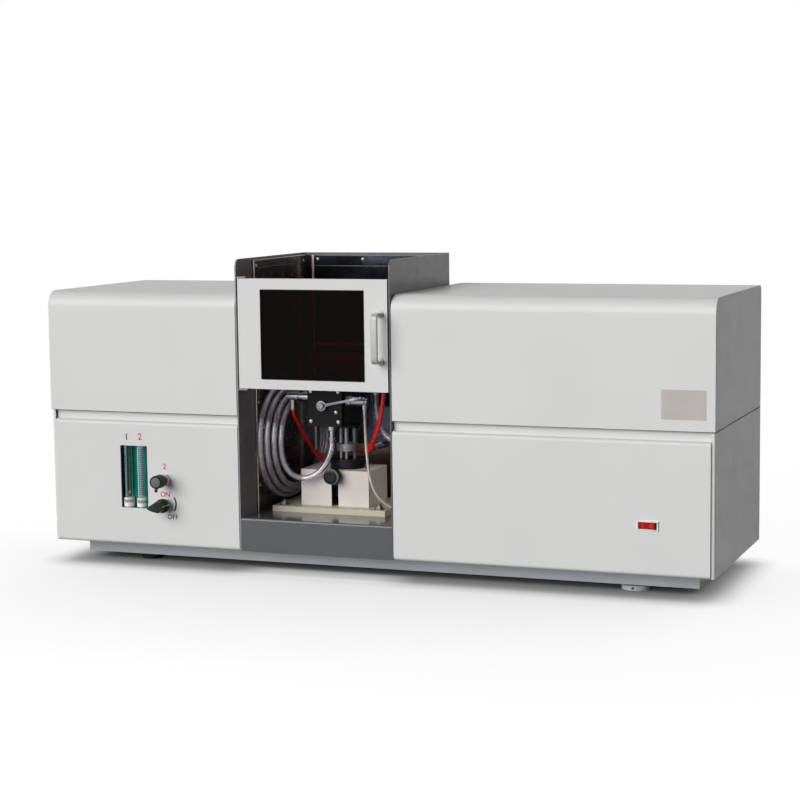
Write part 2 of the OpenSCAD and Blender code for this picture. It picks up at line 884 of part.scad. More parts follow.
module bay_floor() {
    color("#6a6b6d") in_bay() along_x(-wall_in, wall_in) difference() {
        soft_rect([0, -sill_h], [bay_d - bay_sheet, 0], [0, 0, 0, bay_sheet + 1]);
        soft_rect([bay_sheet, -sill_h - over], [bay_d, -bay_sheet], [0, 0, 0, 1]);
    }
}

// Polished liners, each folded back to the wall that it covers
module side_liner(side) {
    along_z(0, bay_h - 4) {
        x0 = side < 0 ? -wall_in : liner_in;
        x1 = side < 0 ? -liner_in : wall_in;
        sheet_x = side < 0 ? x1 - liner_t : x0;
        translate([x0, liner_front]) square([x1 - x0, liner_t]);
        translate([sheet_x, liner_front]) square([liner_t, back_in - liner_front]);
    }
}

module side_liners() {
    color("#2b2b2e") in_bay() for (side = [-1, 1]) difference() {
        side_liner(side);
        rod_x(barrel_r + pass_fit, side * bay_w / 2 - 20, side * bay_w / 2 + 20, burner_y, beam_h);
    }
}

module back_liner() {
    color("#2b2b2e") in_bay() {
        slab([-wall_in, back_in, 0], [wall_in, back_in + liner_t, bay_h - 4]);
        slab([-wall_in, back_in, bay_h - 4 - liner_t], [wall_in, bay_d - bay_sheet, bay_h - 4]);
    }
}

// Door: two pivot lugs and a magnet catch on the walls, a folded frame, its glass and its handle
module door_hardware() {
    color("#b07a4f") in_bay() {
        for (end = [0, 1]) {
            z0 = end == 0 ? door_lift - pass_fit - lug_t : door_top + pass_fit;
            pin_z0 = end == 0 ? z0 : door_top - pivot_l;
            slab([-wall_in, 0.5, z0], [-wall_in + lug_w, door_d + 2, z0 + lug_t]);
            rod_z(pivot_r, pin_z0, pin_z0 + pivot_l + lug_t + pass_fit, pivot_x, pivot_y);
        }
        slab([wall_in - catch_w, door_d + pass_fit, door_lift + door_h / 2 - catch_h / 2],
            [wall_in, door_d + pass_fit + catch_d, door_lift + door_h / 2 + catch_h / 2]);
    }
}

module door_frame() {
    block = 2 * pivot_in;
    color("#dededb") in_bay() difference() {
        union() {
            difference() {
                slab([door_x0, 0, door_lift], [door_x1, door_d, door_top]);
                slab([door_x0 + sheet, sheet, door_lift + sheet],
                    [door_x1 - sheet, door_d + over, door_top - sheet]);
            }
            for (z = [door_lift, door_top - pivot_l - 2]) {
                slab([door_x0, 0, z], [door_x0 + block, door_d, z + pivot_l + 2]);
            }
        }
        slab([-window_w / 2, -over, window_z], [window_w / 2, sheet + over, window_z + window_h]);
        for (z = [door_lift - over, door_top - pivot_l - pass_fit]) {
            rod_z(pivot_r + run_fit, z, z + pivot_l + pass_fit + over, pivot_x, pivot_y);
        }
    }
}

module door_window() {
    color("#3a0d0a") in_bay() slab(
        [-window_w / 2 - glass_lap, sheet, window_z - glass_lap],
        [window_w / 2 + glass_lap, sheet + window_t, window_z + window_h + glass_lap]
    );
}

module door_handle() {
    x = door_x1 - handle_x;
    z0 = handle_z - handle_l / 2;
    z1 = handle_z + handle_l / 2;
    inner = handle_bend - handle_t;
    color("#c4c5c6") in_bay() along_x(x - handle_w / 2, x + handle_w / 2) difference() {
        soft_rect([-handle_reach, z0], [0, z1], [handle_bend, 0, 0, handle_bend]);
        soft_rect([handle_t - handle_reach, z0 + handle_t], [over, z1 - handle_t], [inner, 0, 0, inner]);
    }
}

// Burner plate with its two guide rods, and the bolts that hold it
module burner_plate() {
    color("#b9b59a") in_bay() {
        slab([plate_x0, plate_y0, 0], [plate_x1, plate_y1, plate_t]);
        for (x = [-rod_x, rod_x]) rod_z(rod_r, plate_t, rod_top, x, burner_y);
    }
}

module plate_bolts() {
    bolt_in = 14;
    head_r = 5.5;
    head_t = 4;
    color("#b4b6b8") in_bay() for (x = [plate_x0 + bolt_in, plate_x1 - bolt_in])
        for (y = [plate_y0 + bolt_in, plate_y1 - bolt_in]) {
            rod_z(head_r + 2, plate_t, plate_t + 1.2, x, y);
            translate([x, y, plate_t + 1.2]) cylinder(r = head_r, h = head_t, $fn = 6);
            rod_z(3, plate_t + 1.2 + head_t, plate_t + head_t + 4, x, y);
        }
}

// Lift box: sheet hood with the collar's hole on top and the clamp slot in front
module lift_box() {
    screw_r = 3;
    color("#d6d1cd") in_bay() {
        difference() {
            slab([box_x0, box_y, plate_t], [box_x1, box_y + box_d, box_top]);
            slab([box_x0 + box_t, box_y + box_t, plate_t - over],
                [box_x1 - box_t, box_y + box_d - box_t, box_top - box_t]);
            rod_z(collar_r + pass_fit, box_top - box_t - over, box_top + over, 0, burner_y);
            slab([box_x - slot_w / 2, box_y - over, plate_t - over],
                [box_x + slot_w / 2, box_y + box_t + over, knob_z + stud_r + pass_fit]);
        }
        rod_x(screw_r, box_x1, box_x1 + 2, box_y + 22, plate_t + box_h * 0.67);
    }
}

// Carriage: slider on the guide rods, with the black collar that rises out of the box
module lift_slider() {
    color("#1f1d1c") in_bay() difference() {
        union() {
            slab([-slider_w / 2, slider_y0, slider_z],
                [slider_w / 2, slider_y0 + slider_d, slider_z + slider_h]);
            rod_z(collar_r, slider_z + slider_h, collar_top, 0, burner_y);
        }
        for (x = [-rod_x, rod_x]) {
            rod_z(rod_r + run_fit, slider_z - over, rod_top + lift_travel + over, x, burner_y);
        }
        rod_y(stud_r + run_fit, slider_y0 - over, slider_y0 + stud_in + over, box_x, knob_z);
    }
}

module burner_column() {
    pin_n = 3;
    pin_circle = ring_r - 4.5;
    color("#bcbdbe") in_bay() translate([0, burner_y, 0]) {
        difference() {
            rod_z(ring_r, ring_z, post_z, 0, 0);
            rod_z(8, ring_z - over, post_z + over, 0, 0);
        }
        for (k = [0:pin_n - 1]) {
            a = 360 * k / pin_n - 75;
            rod_z(2.5, collar_top, ring_z, pin_circle * cos(a), pin_circle * sin(a));
            rod_z(3.2, post_z, flange_z, pin_circle * cos(a), pin_circle * sin(a));
        }
    }
}

module spray_chamber() {
    color("#1c1c1d") in_bay() difference() {
        union() {
            slab([chamber_x0, chamber_y0, chamber_z], [chamber_x1, chamber_y1, chamber_top]);
            rod_z(flange_r, flange_z, chamber_z, 0, burner_y);
        }
        rod_z(socket_r, chamber_top - socket_h, chamber_top + over, 0, burner_y);
    }
}

module chamber_plate() {
    screw_x = 22;
    screw_z = 22.5;
    screw_r = 2.6;
    button_r = 4.5;
    button_sink = 2.7;
    color("#2a2a2b") in_bay() {
        difference() {
            slab([face_x - face_w / 2, face_y, face_z - face_h / 2],
                [face_x + face_w / 2, chamber_y0, face_z + face_h / 2]);
            rod_y(clip_pin_r + run_fit, face_y - over, face_y + face_t - 1, clip_x, clip_z);
        }
        for (i = [-1, 1]) for (k = [-1, 1]) {
            rod_y(screw_r, face_y - 1.6, face_y, face_x + i * screw_x, face_z + k * screw_z);
        }
        translate([face_x + 18, face_y + button_sink, face_z - 8]) sphere(r = button_r);
    }
}

// Metal fittings on the chamber: drain nipple, gas tee, nebulizer and air elbow
module chamber_fittings() {
    color("#a9abad") in_bay() {
        rod_z(4, chamber_z - drain_nipple, chamber_z, drain_at.x, drain_at.y);
        rod_z(7, chamber_z - 6, chamber_z, drain_at.x, drain_at.y);
        rod_x(tee_r, tee_x0, chamber_x0, tee_y, tee_z);
        rod_x(tee_r + 2.5, chamber_x0 - 9, chamber_x0, tee_y, tee_z);
        rod_x(tee_r + 1.5, tee_drop_x - 3, tee_drop_x + 10, tee_y, tee_z);
        rod_z(4, tee_z - tee_drop, tee_z, tee_drop_x, tee_y);
        rod_x(neb_r, chamber_x1, neb_x1 - 4, neb_y, neb_z);
        rod_x(neb_r + 2, chamber_x1, chamber_x1 + 8, neb_y, neb_z);
        rod_x(neb_r - 2, neb_x1 - 4, neb_x1, neb_y, neb_z);
        rod_z(4.5, neb_z - neb_drop + 5, neb_z, neb_drop_x, neb_y);
        rod_z(3, neb_z - neb_drop, neb_z - neb_drop + 5, neb_drop_x, neb_y);
        rod_x(5, chamber_x1, air_elbow_x + 5, air_elbow_y, air_elbow_z);
        rod_x(7.5, chamber_x1, chamber_x1 + 7, air_elbow_y, air_elbow_z);
        rod_z(4.5, air_elbow_z - air_elbow_drop, air_elbow_z, air_elbow_x, air_elbow_y);
    }
}

// Burner head: neck that turns in the chamber, and a long block with the flame slot
module burner_head() {
    half = head_l / 2;
    top = head_z + head_h;
    under_r = 6;
    bevel = 8;
    slot_in = 8;
    slot_h = 12;
    color("#9b9ea1") in_bay() translate([0, burner_y, 0]) difference() {
        union() {
            rod_z(socket_r - run_fit, chamber_top - socket_h + over, chamber_top + pass_fit, 0, 0);
            rod_z(socket_r + 3, chamber_top + pass_fit, head_z, 0, 0);
            along_y(-head_w / 2, head_w / 2)
                soft_rect([-half, head_z], [half, top], [under_r, under_r, 0, 0]);
        }
        slab([slot_in - half, -flame_slot / 2, top - slot_h], [half - slot_in, flame_slot / 2, top + over]);
        for (y = [-head_w / 2, head_w / 2]) translate([0, y, top])
            rotate([45, 0, 0]) cube([head_l + 2 * over, bevel, bevel], center = true);
    }
}

// Clip lever in front of the chamber, which holds the nebulizer
module clip_lever() {
    y1 = face_y - clip_clear;
    y0 = y1 - clip_t;
    cap_t = 3;
    color("#b8babc") in_bay() {
        translate([clip_x, 0, clip_z]) rotate([0, -clip_rise, 0])
            slab([0, y0, -clip_w / 2], [clip_l, y1, clip_w / 2]);
        rod_y(clip_r, y0, face_y - pass_fit, clip_x, clip_z);
        rod_y(clip_r - cap_t, y0 - cap_t, y0, clip_x, clip_z);
        rod_y(clip_pin_r, face_y - pass_fit, face_y + face_t - 2, clip_x, clip_z);
    }
}

// Clamp knob of the lift, with its stud through the slot
module lift_knob() {
    color("#1d1e20") in_bay() {
        rod_y(lift_knob_r, lift_knob_y - lift_knob_l, lift_knob_y, box_x, knob_z);
        rod_y(stud_r, lift_knob_y, slider_y0 + stud_in, box_x, knob_z);
    }
}

// Hoses inside the bay
module drain_hose() {
    color("#cfcbd6") in_bay() tube(drain_path, drain_d);
}

module fuel_hoses() {
    color("#a00a00") in_bay() {
        tube(route(fuel_route), fuel_d);
        tube(route(pilot_route), fuel_d);
    }
}

module air_hose() {
    color("#c9ccd2") in_bay() tube(route(air_route), air_d);
}

module sample_tube() {
    color("#d8d6cc") in_bay() tube(route(sample_route), sample_d);
}

module hose_bulkheads() {
    nut = 5;
    color("#a9abad") in_bay() {
        for (p = [concat(drain_out, drain_d), concat(fuel_out, fuel_d), concat(pilot_out, fuel_d)]) {
            rod_y(p[2] / 2 - 0.5, back_in - fitting_l, back_in, p.x, p.y);
            rod_y(p[2] / 2 + 2, back_in - nut, back_in, p.x, p.y);
        }
        for (p = [concat(pilot_in, fuel_d), concat(air_in, air_d)]) {
            rod_x(p[2] / 2 - 0.5, liner_in - fitting_l, liner_in, p.x, p.y);
            rod_x(p[2] / 2 + 3, liner_in - nut, liner_in, p.x, p.y);
        }
    }
}

// Flowmeter: open-fronted block behind the panel window, two clear tubes and their floats
function flow_tube_x(k) = flow_cx + flow_tube_dx + (k - 0.5) * flow_pitch;

module flowmeter_block() {
    port_r = 4;
    port_l = 16;
    port_in = 8;
    back = front_y + sheet + flow_depth;
    color("#0c6b58") {
        difference() {
            slab([flow_cx - flow_w / 2 - flow_wall, front_y + sheet, flow_z0 - flow_wall],
                [flow_cx + flow_w / 2 + flow_wall, back, flow_z1 + flow_wall]);
            slab([flow_cx - flow_w / 2, front_y, flow_z0], [flow_cx + flow_w / 2, back - flow_wall, flow_z1]);
        }
        for (k = [0, 1]) for (z = [flow_z0 + port_in, flow_z1 - port_in]) {
            rod_y(port_r, back, back + port_l, flow_tube_x(k), z);
        }
    }
}

module flow_tubes() {
    color("#b9cdd2", 0.5) for (k = [0, 1]) difference() {
        union() {
            rod_z(flow_tube_r, flow_z0, flow_z1, flow_tube_x(k), flow_tube_y);
            rod_z(collar_flow_r, flow_z0, flow_z0 + collar_flow_h, flow_tube_x(k), flow_tube_y);
        }
        rod_z(flow_bore_r, flow_z0 + flow_seat, flow_z1 - flow_cap, flow_tube_x(k), flow_tube_y);
    }
}

module flow_float(k) {
    translate([flow_tube_x(k), flow_tube_y, flow_z0 + flow_seat + float_r + pass_fit]) sphere(r = float_r);
}

module air_float() {
    color("#c9a08a") flow_float(0);
}

module fuel_float() {
    color("#c9a08a") flow_float(1);
}

// Gas valves behind the panel, with their hubs and spindles in front of it
module valve_body(z, hub, spindle) {
    nut_t = 4;
    rod_y(valve_body_r, front_y + sheet, front_y + valve_body_d, valve_cx, z);
    rod_y(valve_neck_r, front_y - hub + pass_fit, front_y + sheet, valve_cx, z);
    translate([valve_cx, front_y, z]) rotate([90, 0, 0]) cylinder(r = hub_r + 1.5, h = nut_t, $fn = 6);
    rod_y(hub_r - 0.5, front_y - hub + pass_fit, front_y - nut_t, valve_cx, z);
    rod_y(spindle_r, front_y - hub - spindle, front_y - hub + pass_fit, valve_cx, z);
}

fuel_spindle = knob_l - 8;
shut_spindle = lever_base_t + lever_grip_t - 5;

module valve_bodies() {
    color("#b4b6b8") {
        valve_body(fuel_cz, fuel_hub, fuel_spindle);
        valve_body(shut_cz, shut_hub, shut_spindle);
    }
}

module fuel_knob() {
    grip_l = knob_l - 6;
    front = front_y - knob_reach;
    rear = front + knob_l;
    flutes = 24;
    flute_r = 0.7;
    tab_w = 3.5;
    tab_h = 5.5;
    color("#232323") difference() {
        union() {
            rod_y(knob_r, front, front + grip_l, valve_cx, fuel_cz);
            rod_y(knob_r - 2, front + grip_l, front + knob_l, valve_cx, fuel_cz);
            slab([valve_cx - tab_w / 2, front + 2, fuel_cz - knob_r - tab_h],
                [valve_cx + tab_w / 2, front + 9, fuel_cz - knob_r + 2]);
        }
        rod_y(knob_r - 2.5, front - over, front + 1, valve_cx, fuel_cz);
        rod_y(spindle_r + run_fit, rear - fuel_spindle - pass_fit, rear + over, valve_cx, fuel_cz);
        for (k = [0:flutes - 1]) {
            a = 360 * k / flutes + 180 / flutes;
            x = valve_cx + knob_r * cos(a);
            z = fuel_cz + knob_r * sin(a);
            rod_y(flute_r, front + 3, front + grip_l + over, x, z);
        }
    }
}

module gas_lever() {
    base_y = front_y - shut_hub;
    grip_y = base_y - lever_base_t;
    tail_w = 5;
    color("#191a1b") difference() {
        union() {
            rod_y(lever_r, grip_y, base_y, valve_cx, shut_cz);
            translate([valve_cx, 0, shut_cz]) along_y(grip_y - lever_grip_t, grip_y) rotate(lever_rest) {
                circle(lever_r - 2);
                polygon([
                    [0, lever_r - 2], [-lever_r, lever_r * 0.55], [-lever_tail, tail_w / 2],
                    [-lever_tail, -tail_w / 2], [-lever_r, -lever_r * 0.55], [0, 2 - lever_r]
                ]);
            }
        }
        rod_y(spindle_r + run_fit, base_y - shut_spindle - pass_fit, base_y + over, valve_cx, shut_cz);
    }
}

// Power switch: bezel with its body behind the panel, and the rocker on two short pins
module switch_bezel() {
    wall = 0.8;
    socket = (cavity_h + wall) / 2;
    color("#e6e0dc") difference() {
        union() {
            slab([switch_cx - bezel_w / 2, front_y - bezel_t, switch_cz - bezel_h / 2],
                [switch_cx + bezel_w / 2, front_y, switch_cz + bezel_h / 2]);
            slab([switch_cx - cavity_w / 2 - wall, front_y, switch_cz - cavity_h / 2 - wall],
                [switch_cx + cavity_w / 2 + wall, front_y + bezel_body_d, switch_cz + cavity_h / 2 + wall]);
        }
        slab([switch_cx - cavity_w / 2, front_y - bezel_t - over, switch_cz - cavity_h / 2],
            [switch_cx + cavity_w / 2, front_y + bezel_body_d - 4, switch_cz + cavity_h / 2]);
        rod_z(rocker_pin_r + run_fit, switch_cz - socket, switch_cz + socket, switch_cx, rocker_y);
    }
}

module power_rocker() {
    half = rocker_w / 2;
    color("#c8100e") translate([switch_cx, rocker_y, switch_cz]) rotate([0, 0, -rocker_tilt]) {
        along_z(-rocker_h / 2, rocker_h / 2) polygon([
            [-half, -6], [0, -4.6], [half, -6], [half, -1], [half / 3, 5], [-half / 3, 5], [-half, -1]
        ]);
        rod_z(rocker_pin_r, -cavity_h / 2 - 0.3, cavity_h / 2 + 0.3, 0, 0);
    }
}

// Lamp turret: two discs on a shaft, the lamps in their bores, and the stand with its drive motor
module lamp_places() {
    for (k = [0:lamp_n - 1]) {
        a = 90 + 360 * k / lamp_n;
        translate([0, beam_y + turret_r * cos(a), turret_z + turret_r * sin(a)]) children();
    }
}

module lamp_turret() {
    color("#8b8f92") difference() {
        union() {
            for (x = [turret_disc_a, turret_disc_b]) {
                rod_x(turret_disc_r, x, x + turret_disc_t, beam_y, turret_z);
            }
            rod_x(turret_shaft_r, stand_x0 + 2, turret_disc_b, beam_y, turret_z);
        }
        lamp_places()
            rod_x(lamp_r + pass_fit, turret_disc_a - over, turret_disc_b + turret_disc_t + over, 0, 0);
    }
}

module lamps() {
    base_l = 34;
    color("#c9d2d6") lamp_places() {
        rod_x(lamp_r, lamp_x0 + base_l, lamp_x1, 0, 0);
        rod_x(lamp_r - 2, lamp_x0, lamp_x0 + base_l, 0, 0);
    }
}

module lamp_stand() {
    half = 26;
    color("#6d7073") {
        difference() {
            union() {
                slab([stand_x0, beam_y - half, bench_z], [stand_x1, beam_y + half, turret_z + half]);
                slab([stand_x0 - 40, beam_y - half, bench_z], [stand_x1, beam_y + half, bench_z + 6]);
            }
            rod_x(turret_shaft_r + run_fit, stand_x0 + 1, stand_x1 + over, beam_y, turret_z);
        }
        rod_x(motor_r, stand_x0 - motor_l, stand_x0, beam_y, turret_z);
    }
}

// Lens barrels in the bay walls, each with its lens
module lens_barrel(wall_x, side) {
    flange_t = 4;
    lens_t = 5;
    rear = 26;
    reach = bay_sheet + liner_off + liner_t + 3;
    translate([wall_x, beam_y, beam_z]) mirror([side > 0 ? 0 : 1, 0, 0]) {
        difference() {
            union() {
                rod_x(barrel_r, -rear, reach, 0, 0);
                rod_x(barrel_r + 6, -flange_t, 0, 0, 0);
            }
            rod_x(barrel_bore, -rear - over, reach + over, 0, 0);
        }
        rod_x(barrel_bore, -lens_t, 0, 0, 0);
    }
}

module lens_barrels() {
    color("#3b3d40") {
        lens_barrel(bay_x0, 1);
        lens_barrel(bay_x1, -1);
    }
}

// Monochromator: cast base with slit plates and mirror mounts, and the grating on its table
module monochromator() {
    slit_t = 4;
    slit_half = 24;
    mirror_r = 28;
    mount_t = 16;
    far_x = mono_x0 + mono_l - 30;
    top = beam_z + mirror_r;
    color("#3f4144") {
        difference() {
            slab([mono_x0, mono_y0, bench_z], [mono_x0 + mono_l, mono_y0 + mono_d, bench_z + mono_t]);
            rod_z(grating_pin_r + run_fit, bench_z + 1, bench_z + mono_t + over, grating_x, grating_y);
        }
        for (y = [beam_y, exit_y]) {
            difference() {
                slab([mono_x0, y - slit_half, bench_z + mono_t], [mono_x0 + slit_t, y + slit_half, top]);
                slab([mono_x0 - over, y - 1, beam_z - 8], [mono_x0 + slit_t + over, y + 1, beam_z + 8]);
            }
            slab([far_x, y - mirror_r, bench_z + mono_t], [far_x + mount_t, y + mirror_r, top]);
            rod_x(mirror_r - 2, far_x - 6, far_x, y, beam_z);
        }
    }
}

module grating_table() {
    table_r = 26;
    block = 36;
    z0 = bench_z + mono_t + pass_fit;
    color("#7d8184") translate([grating_x, grating_y, 0]) {
        rod_z(grating_pin_r, bench_z + 2, z0, 0, 0);
        rod_z(table_r, z0, z0 + 8, 0, 0);
        rod_z(10, z0 + 8, beam_z - block / 2, 0, 0);
        slab([-6, -block / 2, beam_z - block / 2], [6, block / 2, beam_z + block / 2]);
    }
}

module pmt_housing() {
    half = 19;
    x0 = bay_x1 + 8;
    color("#4a4c50") difference() {
        slab([x0, exit_y - half, bench_z], [x0 + 34, exit_y + half, beam_z + 42]);
        rod_x(7, x0 + 20, x0 + 34 + over, exit_y, beam_z);
    }
}

// Main board on its pillars, and the supply
module main_board() {
    size = [board_w, board_d];
    z0 = body_z + sheet;
    z1 = z0 + board_lift;
    board = 1.6;
    // Parts on the board: share of its width and depth, then width, depth and height
    parts = [
        [0.13, 0.2, 24, 24, 8], [0.35, 0.27, 40, 18, 12], [0.65, 0.2, 14, 14, 22], [0.78, 0.6, 30, 30, 15],
        [0.17, 0.67, 60, 20, 10]
    ];
    color("#2f6b3d") translate([board_x0, boards_y, 0]) {
        slab([0, 0, z1], [size.x, size.y, z1 + board]);
        for (x = [8, size.x - 8]) for (y = [8, size.y - 8]) rod_z(3.5, z0, z1, x, y);
        for (p = parts) translate([p[0] * size.x, p[1] * size.y, z1 + board]) cube([p[2], p[3], p[4]]);
    }
}

module power_supply() {
    z0 = body_z + sheet;
    terminals = [12, 14];
    color("#a7aaac") {
        slab([supply_x0, boards_y, z0], [supply_x1, boards_y + supply_d, z0 + supply_h]);
        slab([supply_x0 + 10, boards_y - terminals.x, z0], [supply_x1 - 10, boards_y, z0 + terminals.y]);
    }
}

// Cooling fan inside the right rear wall
module fan_frame() {
    y1 = rear_y - sheet;
    y0 = y1 - fan_d;
    half = fan_size / 2;
    arm = 4;
    color("#222325") {
        difference() {
            slab([fan_cx - half, y0, fan_cz - half], [fan_cx + half, y1, fan_cz + half]);
            rod_y(fan_r, y0 - over, y1 + over, fan_cx, fan_cz);
        }
        for (k = [0:2]) translate([fan_cx, 0, fan_cz]) rotate([0, 120 * k, 0])
            slab([-arm / 2, y0, 0], [arm / 2, y0 + 3, fan_r + 1]);
        rod_y(14, y0, y0 + 3, fan_cx, fan_cz);
        rod_y(fan_pin_r, y0, y1 - 4, fan_cx, fan_cz);
    }
}

module fan_rotor() {
    y0 = rear_y - sheet - fan_d + 3 + pass_fit;
    depth = fan_d - 3 - 3;
    hub = 15;
    blades = 7;
    blade_t = 1.6;
    chord = depth * 0.9;
    pitch = 35;
    color("#1a1b1c") difference() {
        union() {
            rod_y(hub, y0, y0 + depth, fan_cx, fan_cz);
            for (k = [0:blades - 1]) translate([fan_cx, y0 + depth / 2, fan_cz])
                rotate([0, 360 * k / blades, 0]) translate([0, 0, hub - 2]) rotate([0, 0, pitch])
                    slab([-blade_t / 2, -chord / 2, 0], [blade_t / 2, chord / 2, fan_r - hub - 1]);
        }
        rod_y(fan_pin_r + run_fit, y0 - over, rear_y - sheet - 4 + pass_fit, fan_cx, fan_cz);
    }
}

// Mains inlet socket and gas inlets on the rear walls
module power_inlet() {
    flange = [25, 13.5];
    flange_t = 3;
    body = [13.7, 10.2];
    body_depth = 25;
    well = [12, 8.5];
    well_depth = 16;
    blade = [1, 2];
    blade_l = 8;
    blade_places = [[-7, -2], [7, -2], [0, 3]];
    color("#18191a") translate([power_cx, rear_y, power_cz]) {
        difference() {
            union() {
                slab([-flange.x, 0, -flange.y], [flange.x, flange_t, flange.y]);
                slab([-body.x, -body_depth, -body.y], [body.x, 0, body.y]);
            }
            slab([-well.x, -well_depth, -well.y], [well.x, flange_t + over, well.y]);
        }
        for (p = blade_places) slab([p.x - blade.x, -well_depth - over, p.y - blade.y],
            [p.x + blade.x, blade_l - well_depth, p.y + blade.y]);
    }
}

module gas_inlets() {
    nut_r = 10;
    nut_t = 6;
    bore_r = 2;
    color("#b08d4a") for (x = gas_in_x) difference() {
        union() {
            translate([x, rear_y + nut_t, gas_in_z]) rotate([90, 0, 0])
                cylinder(r = nut_r, h = nut_t, $fn = 6);
            rod_y(nipple_r, rear_y - sheet - 12, rear_y + inlet_reach, x, gas_in_z);
            rod_y(nut_r - 2, rear_y - sheet - 5, rear_y - sheet, x, gas_in_z);
        }
        rod_y(bore_r, rear_y - sheet - 13, rear_y + inlet_reach + over, x, gas_in_z);
    }
}

base_tray();
rubber_feet();
levelling_foot_front();
levelling_foot_rear();
left_chassis();
left_front_panel();
right_chassis();
right_front_panel();
bench_plates();
lamp_cover();
lid_hinges();
optics_cover();
bay_left_wall();
bay_right_wall();
bay_back_wall();
bay_floor();
side_liners();
back_liner();
door_hardware();
door_frame();
door_window();
door_handle();
burner_plate();
plate_bolts();
lift_box();
lift_slider();
burner_column();
spray_chamber();
chamber_plate();
chamber_fittings();
burner_head();
clip_lever();
lift_knob();
drain_hose();
fuel_hoses();
air_hose();
sample_tube();
hose_bulkheads();
flowmeter_block();
flow_tubes();
air_float();
fuel_float();
valve_bodies();
fuel_knob();
gas_lever();
switch_bezel();
power_rocker();
lamp_turret();
lamps();
lamp_stand();
lens_barrels();
monochromator();
grating_table();
pmt_housing();
main_board();
power_supply();
fan_frame();
fan_rotor();
power_inlet();
gas_inlets();
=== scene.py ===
"""Looks of a bench-top flame atomic absorption spectrophotometer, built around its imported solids.

Blender works in metres in the row frame: +Z is up and the front faces -Y. Sizes in the classes below are in
millimetres, as on a drawing, and turn into metres where a mesh is made.
"""

from __future__ import annotations

import json
import logging
import math
from dataclasses import dataclass, field
from enum import Enum
from typing import Any, Sequence

import bmesh
import bpy
from mathutils import Matrix, Vector

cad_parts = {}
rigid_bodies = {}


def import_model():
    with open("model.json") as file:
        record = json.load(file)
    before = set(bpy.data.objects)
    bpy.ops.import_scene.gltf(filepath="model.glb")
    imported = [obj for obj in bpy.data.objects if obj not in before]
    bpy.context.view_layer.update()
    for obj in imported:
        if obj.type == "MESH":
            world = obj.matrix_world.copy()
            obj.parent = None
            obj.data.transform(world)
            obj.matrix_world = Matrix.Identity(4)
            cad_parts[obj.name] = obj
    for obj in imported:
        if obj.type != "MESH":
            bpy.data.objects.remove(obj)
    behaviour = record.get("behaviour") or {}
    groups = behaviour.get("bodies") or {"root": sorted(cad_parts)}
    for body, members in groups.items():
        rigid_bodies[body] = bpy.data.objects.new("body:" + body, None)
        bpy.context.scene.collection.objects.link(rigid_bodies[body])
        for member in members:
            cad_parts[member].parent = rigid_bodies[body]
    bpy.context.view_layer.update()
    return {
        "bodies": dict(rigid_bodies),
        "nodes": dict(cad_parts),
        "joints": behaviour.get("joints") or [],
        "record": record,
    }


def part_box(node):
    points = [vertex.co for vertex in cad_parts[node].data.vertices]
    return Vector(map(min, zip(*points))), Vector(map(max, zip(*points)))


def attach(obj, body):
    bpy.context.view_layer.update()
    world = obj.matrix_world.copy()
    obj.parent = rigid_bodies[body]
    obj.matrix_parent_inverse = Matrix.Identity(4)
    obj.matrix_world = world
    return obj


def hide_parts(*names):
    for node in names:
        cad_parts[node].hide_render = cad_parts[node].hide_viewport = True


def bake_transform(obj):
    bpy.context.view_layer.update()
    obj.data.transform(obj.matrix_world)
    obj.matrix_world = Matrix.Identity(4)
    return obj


LOG = logging.getLogger("spectrophotometer")
Triple = tuple[float, float, float]
Pair = tuple[float, float]

# A millimetre, and the distance below which two points count as level, in metres.
MM = 0.001
TOUCH = 1e-6

# Middle of the flame bay, in millimetres from the middle of the unit.
BAY_MIDDLE = -76.0

# Ways that the sides of the unit face.
FRONTWARD = (0.0, -1.0, 0.0)
BACKWARD = (0.0, 1.0, 0.0)
RIGHTWARD = (1.0, 0.0, 0.0)
UPWARD = (0.0, 0.0, 1.0)
DOWNWARD = (0.0, 0.0, -1.0)

# Least angle of an edge that stays sharp, in degrees.
CREASE = 32.0
HOSE_CREASE = 60.0

# Values that the shaders share. The relief's depth is in metres.
WHITE = (1.0, 1.0, 1.0, 1.0)
UNIT = (0.0, 1.0)
COAT_ROUGHNESS = 0.12
RELIEF_DEPTH = 0.0004
RUB_SCALE = 7.0
WEAR_SPOTS = 160.0
DUST_CELLS = 70.0
DUST_COLOUR = "#b9b6b0"
DUST_MATT = 0.3


def linear_colour(code: str) -> tuple[float, float, float, float]:
    """Turn a hex colour into the linear colour that a shader socket takes.

    Args:
        code: Colour as "#rrggbb".

    Returns:
        Linear red, green and blue, with full alpha.
    """
    parts = [int(code[i:i + 2], 16) / 255 for i in (1, 3, 5)]
    line = [p / 12.92 if p <= 0.04045 else ((p + 0.055) / 1.055) ** 2.4 for p in parts]
    return (line[0], line[1], line[2], 1.0)


@dataclass(frozen=True)
class Datum:
    """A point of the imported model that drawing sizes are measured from."""

    origin: Triple

    def at(self, x: float, y: float, z: float) -> Vector:
        """Point in metres for drawing sizes in millimetres."""
        return Vector(self.origin) + Vector((x, y, z)) * MM


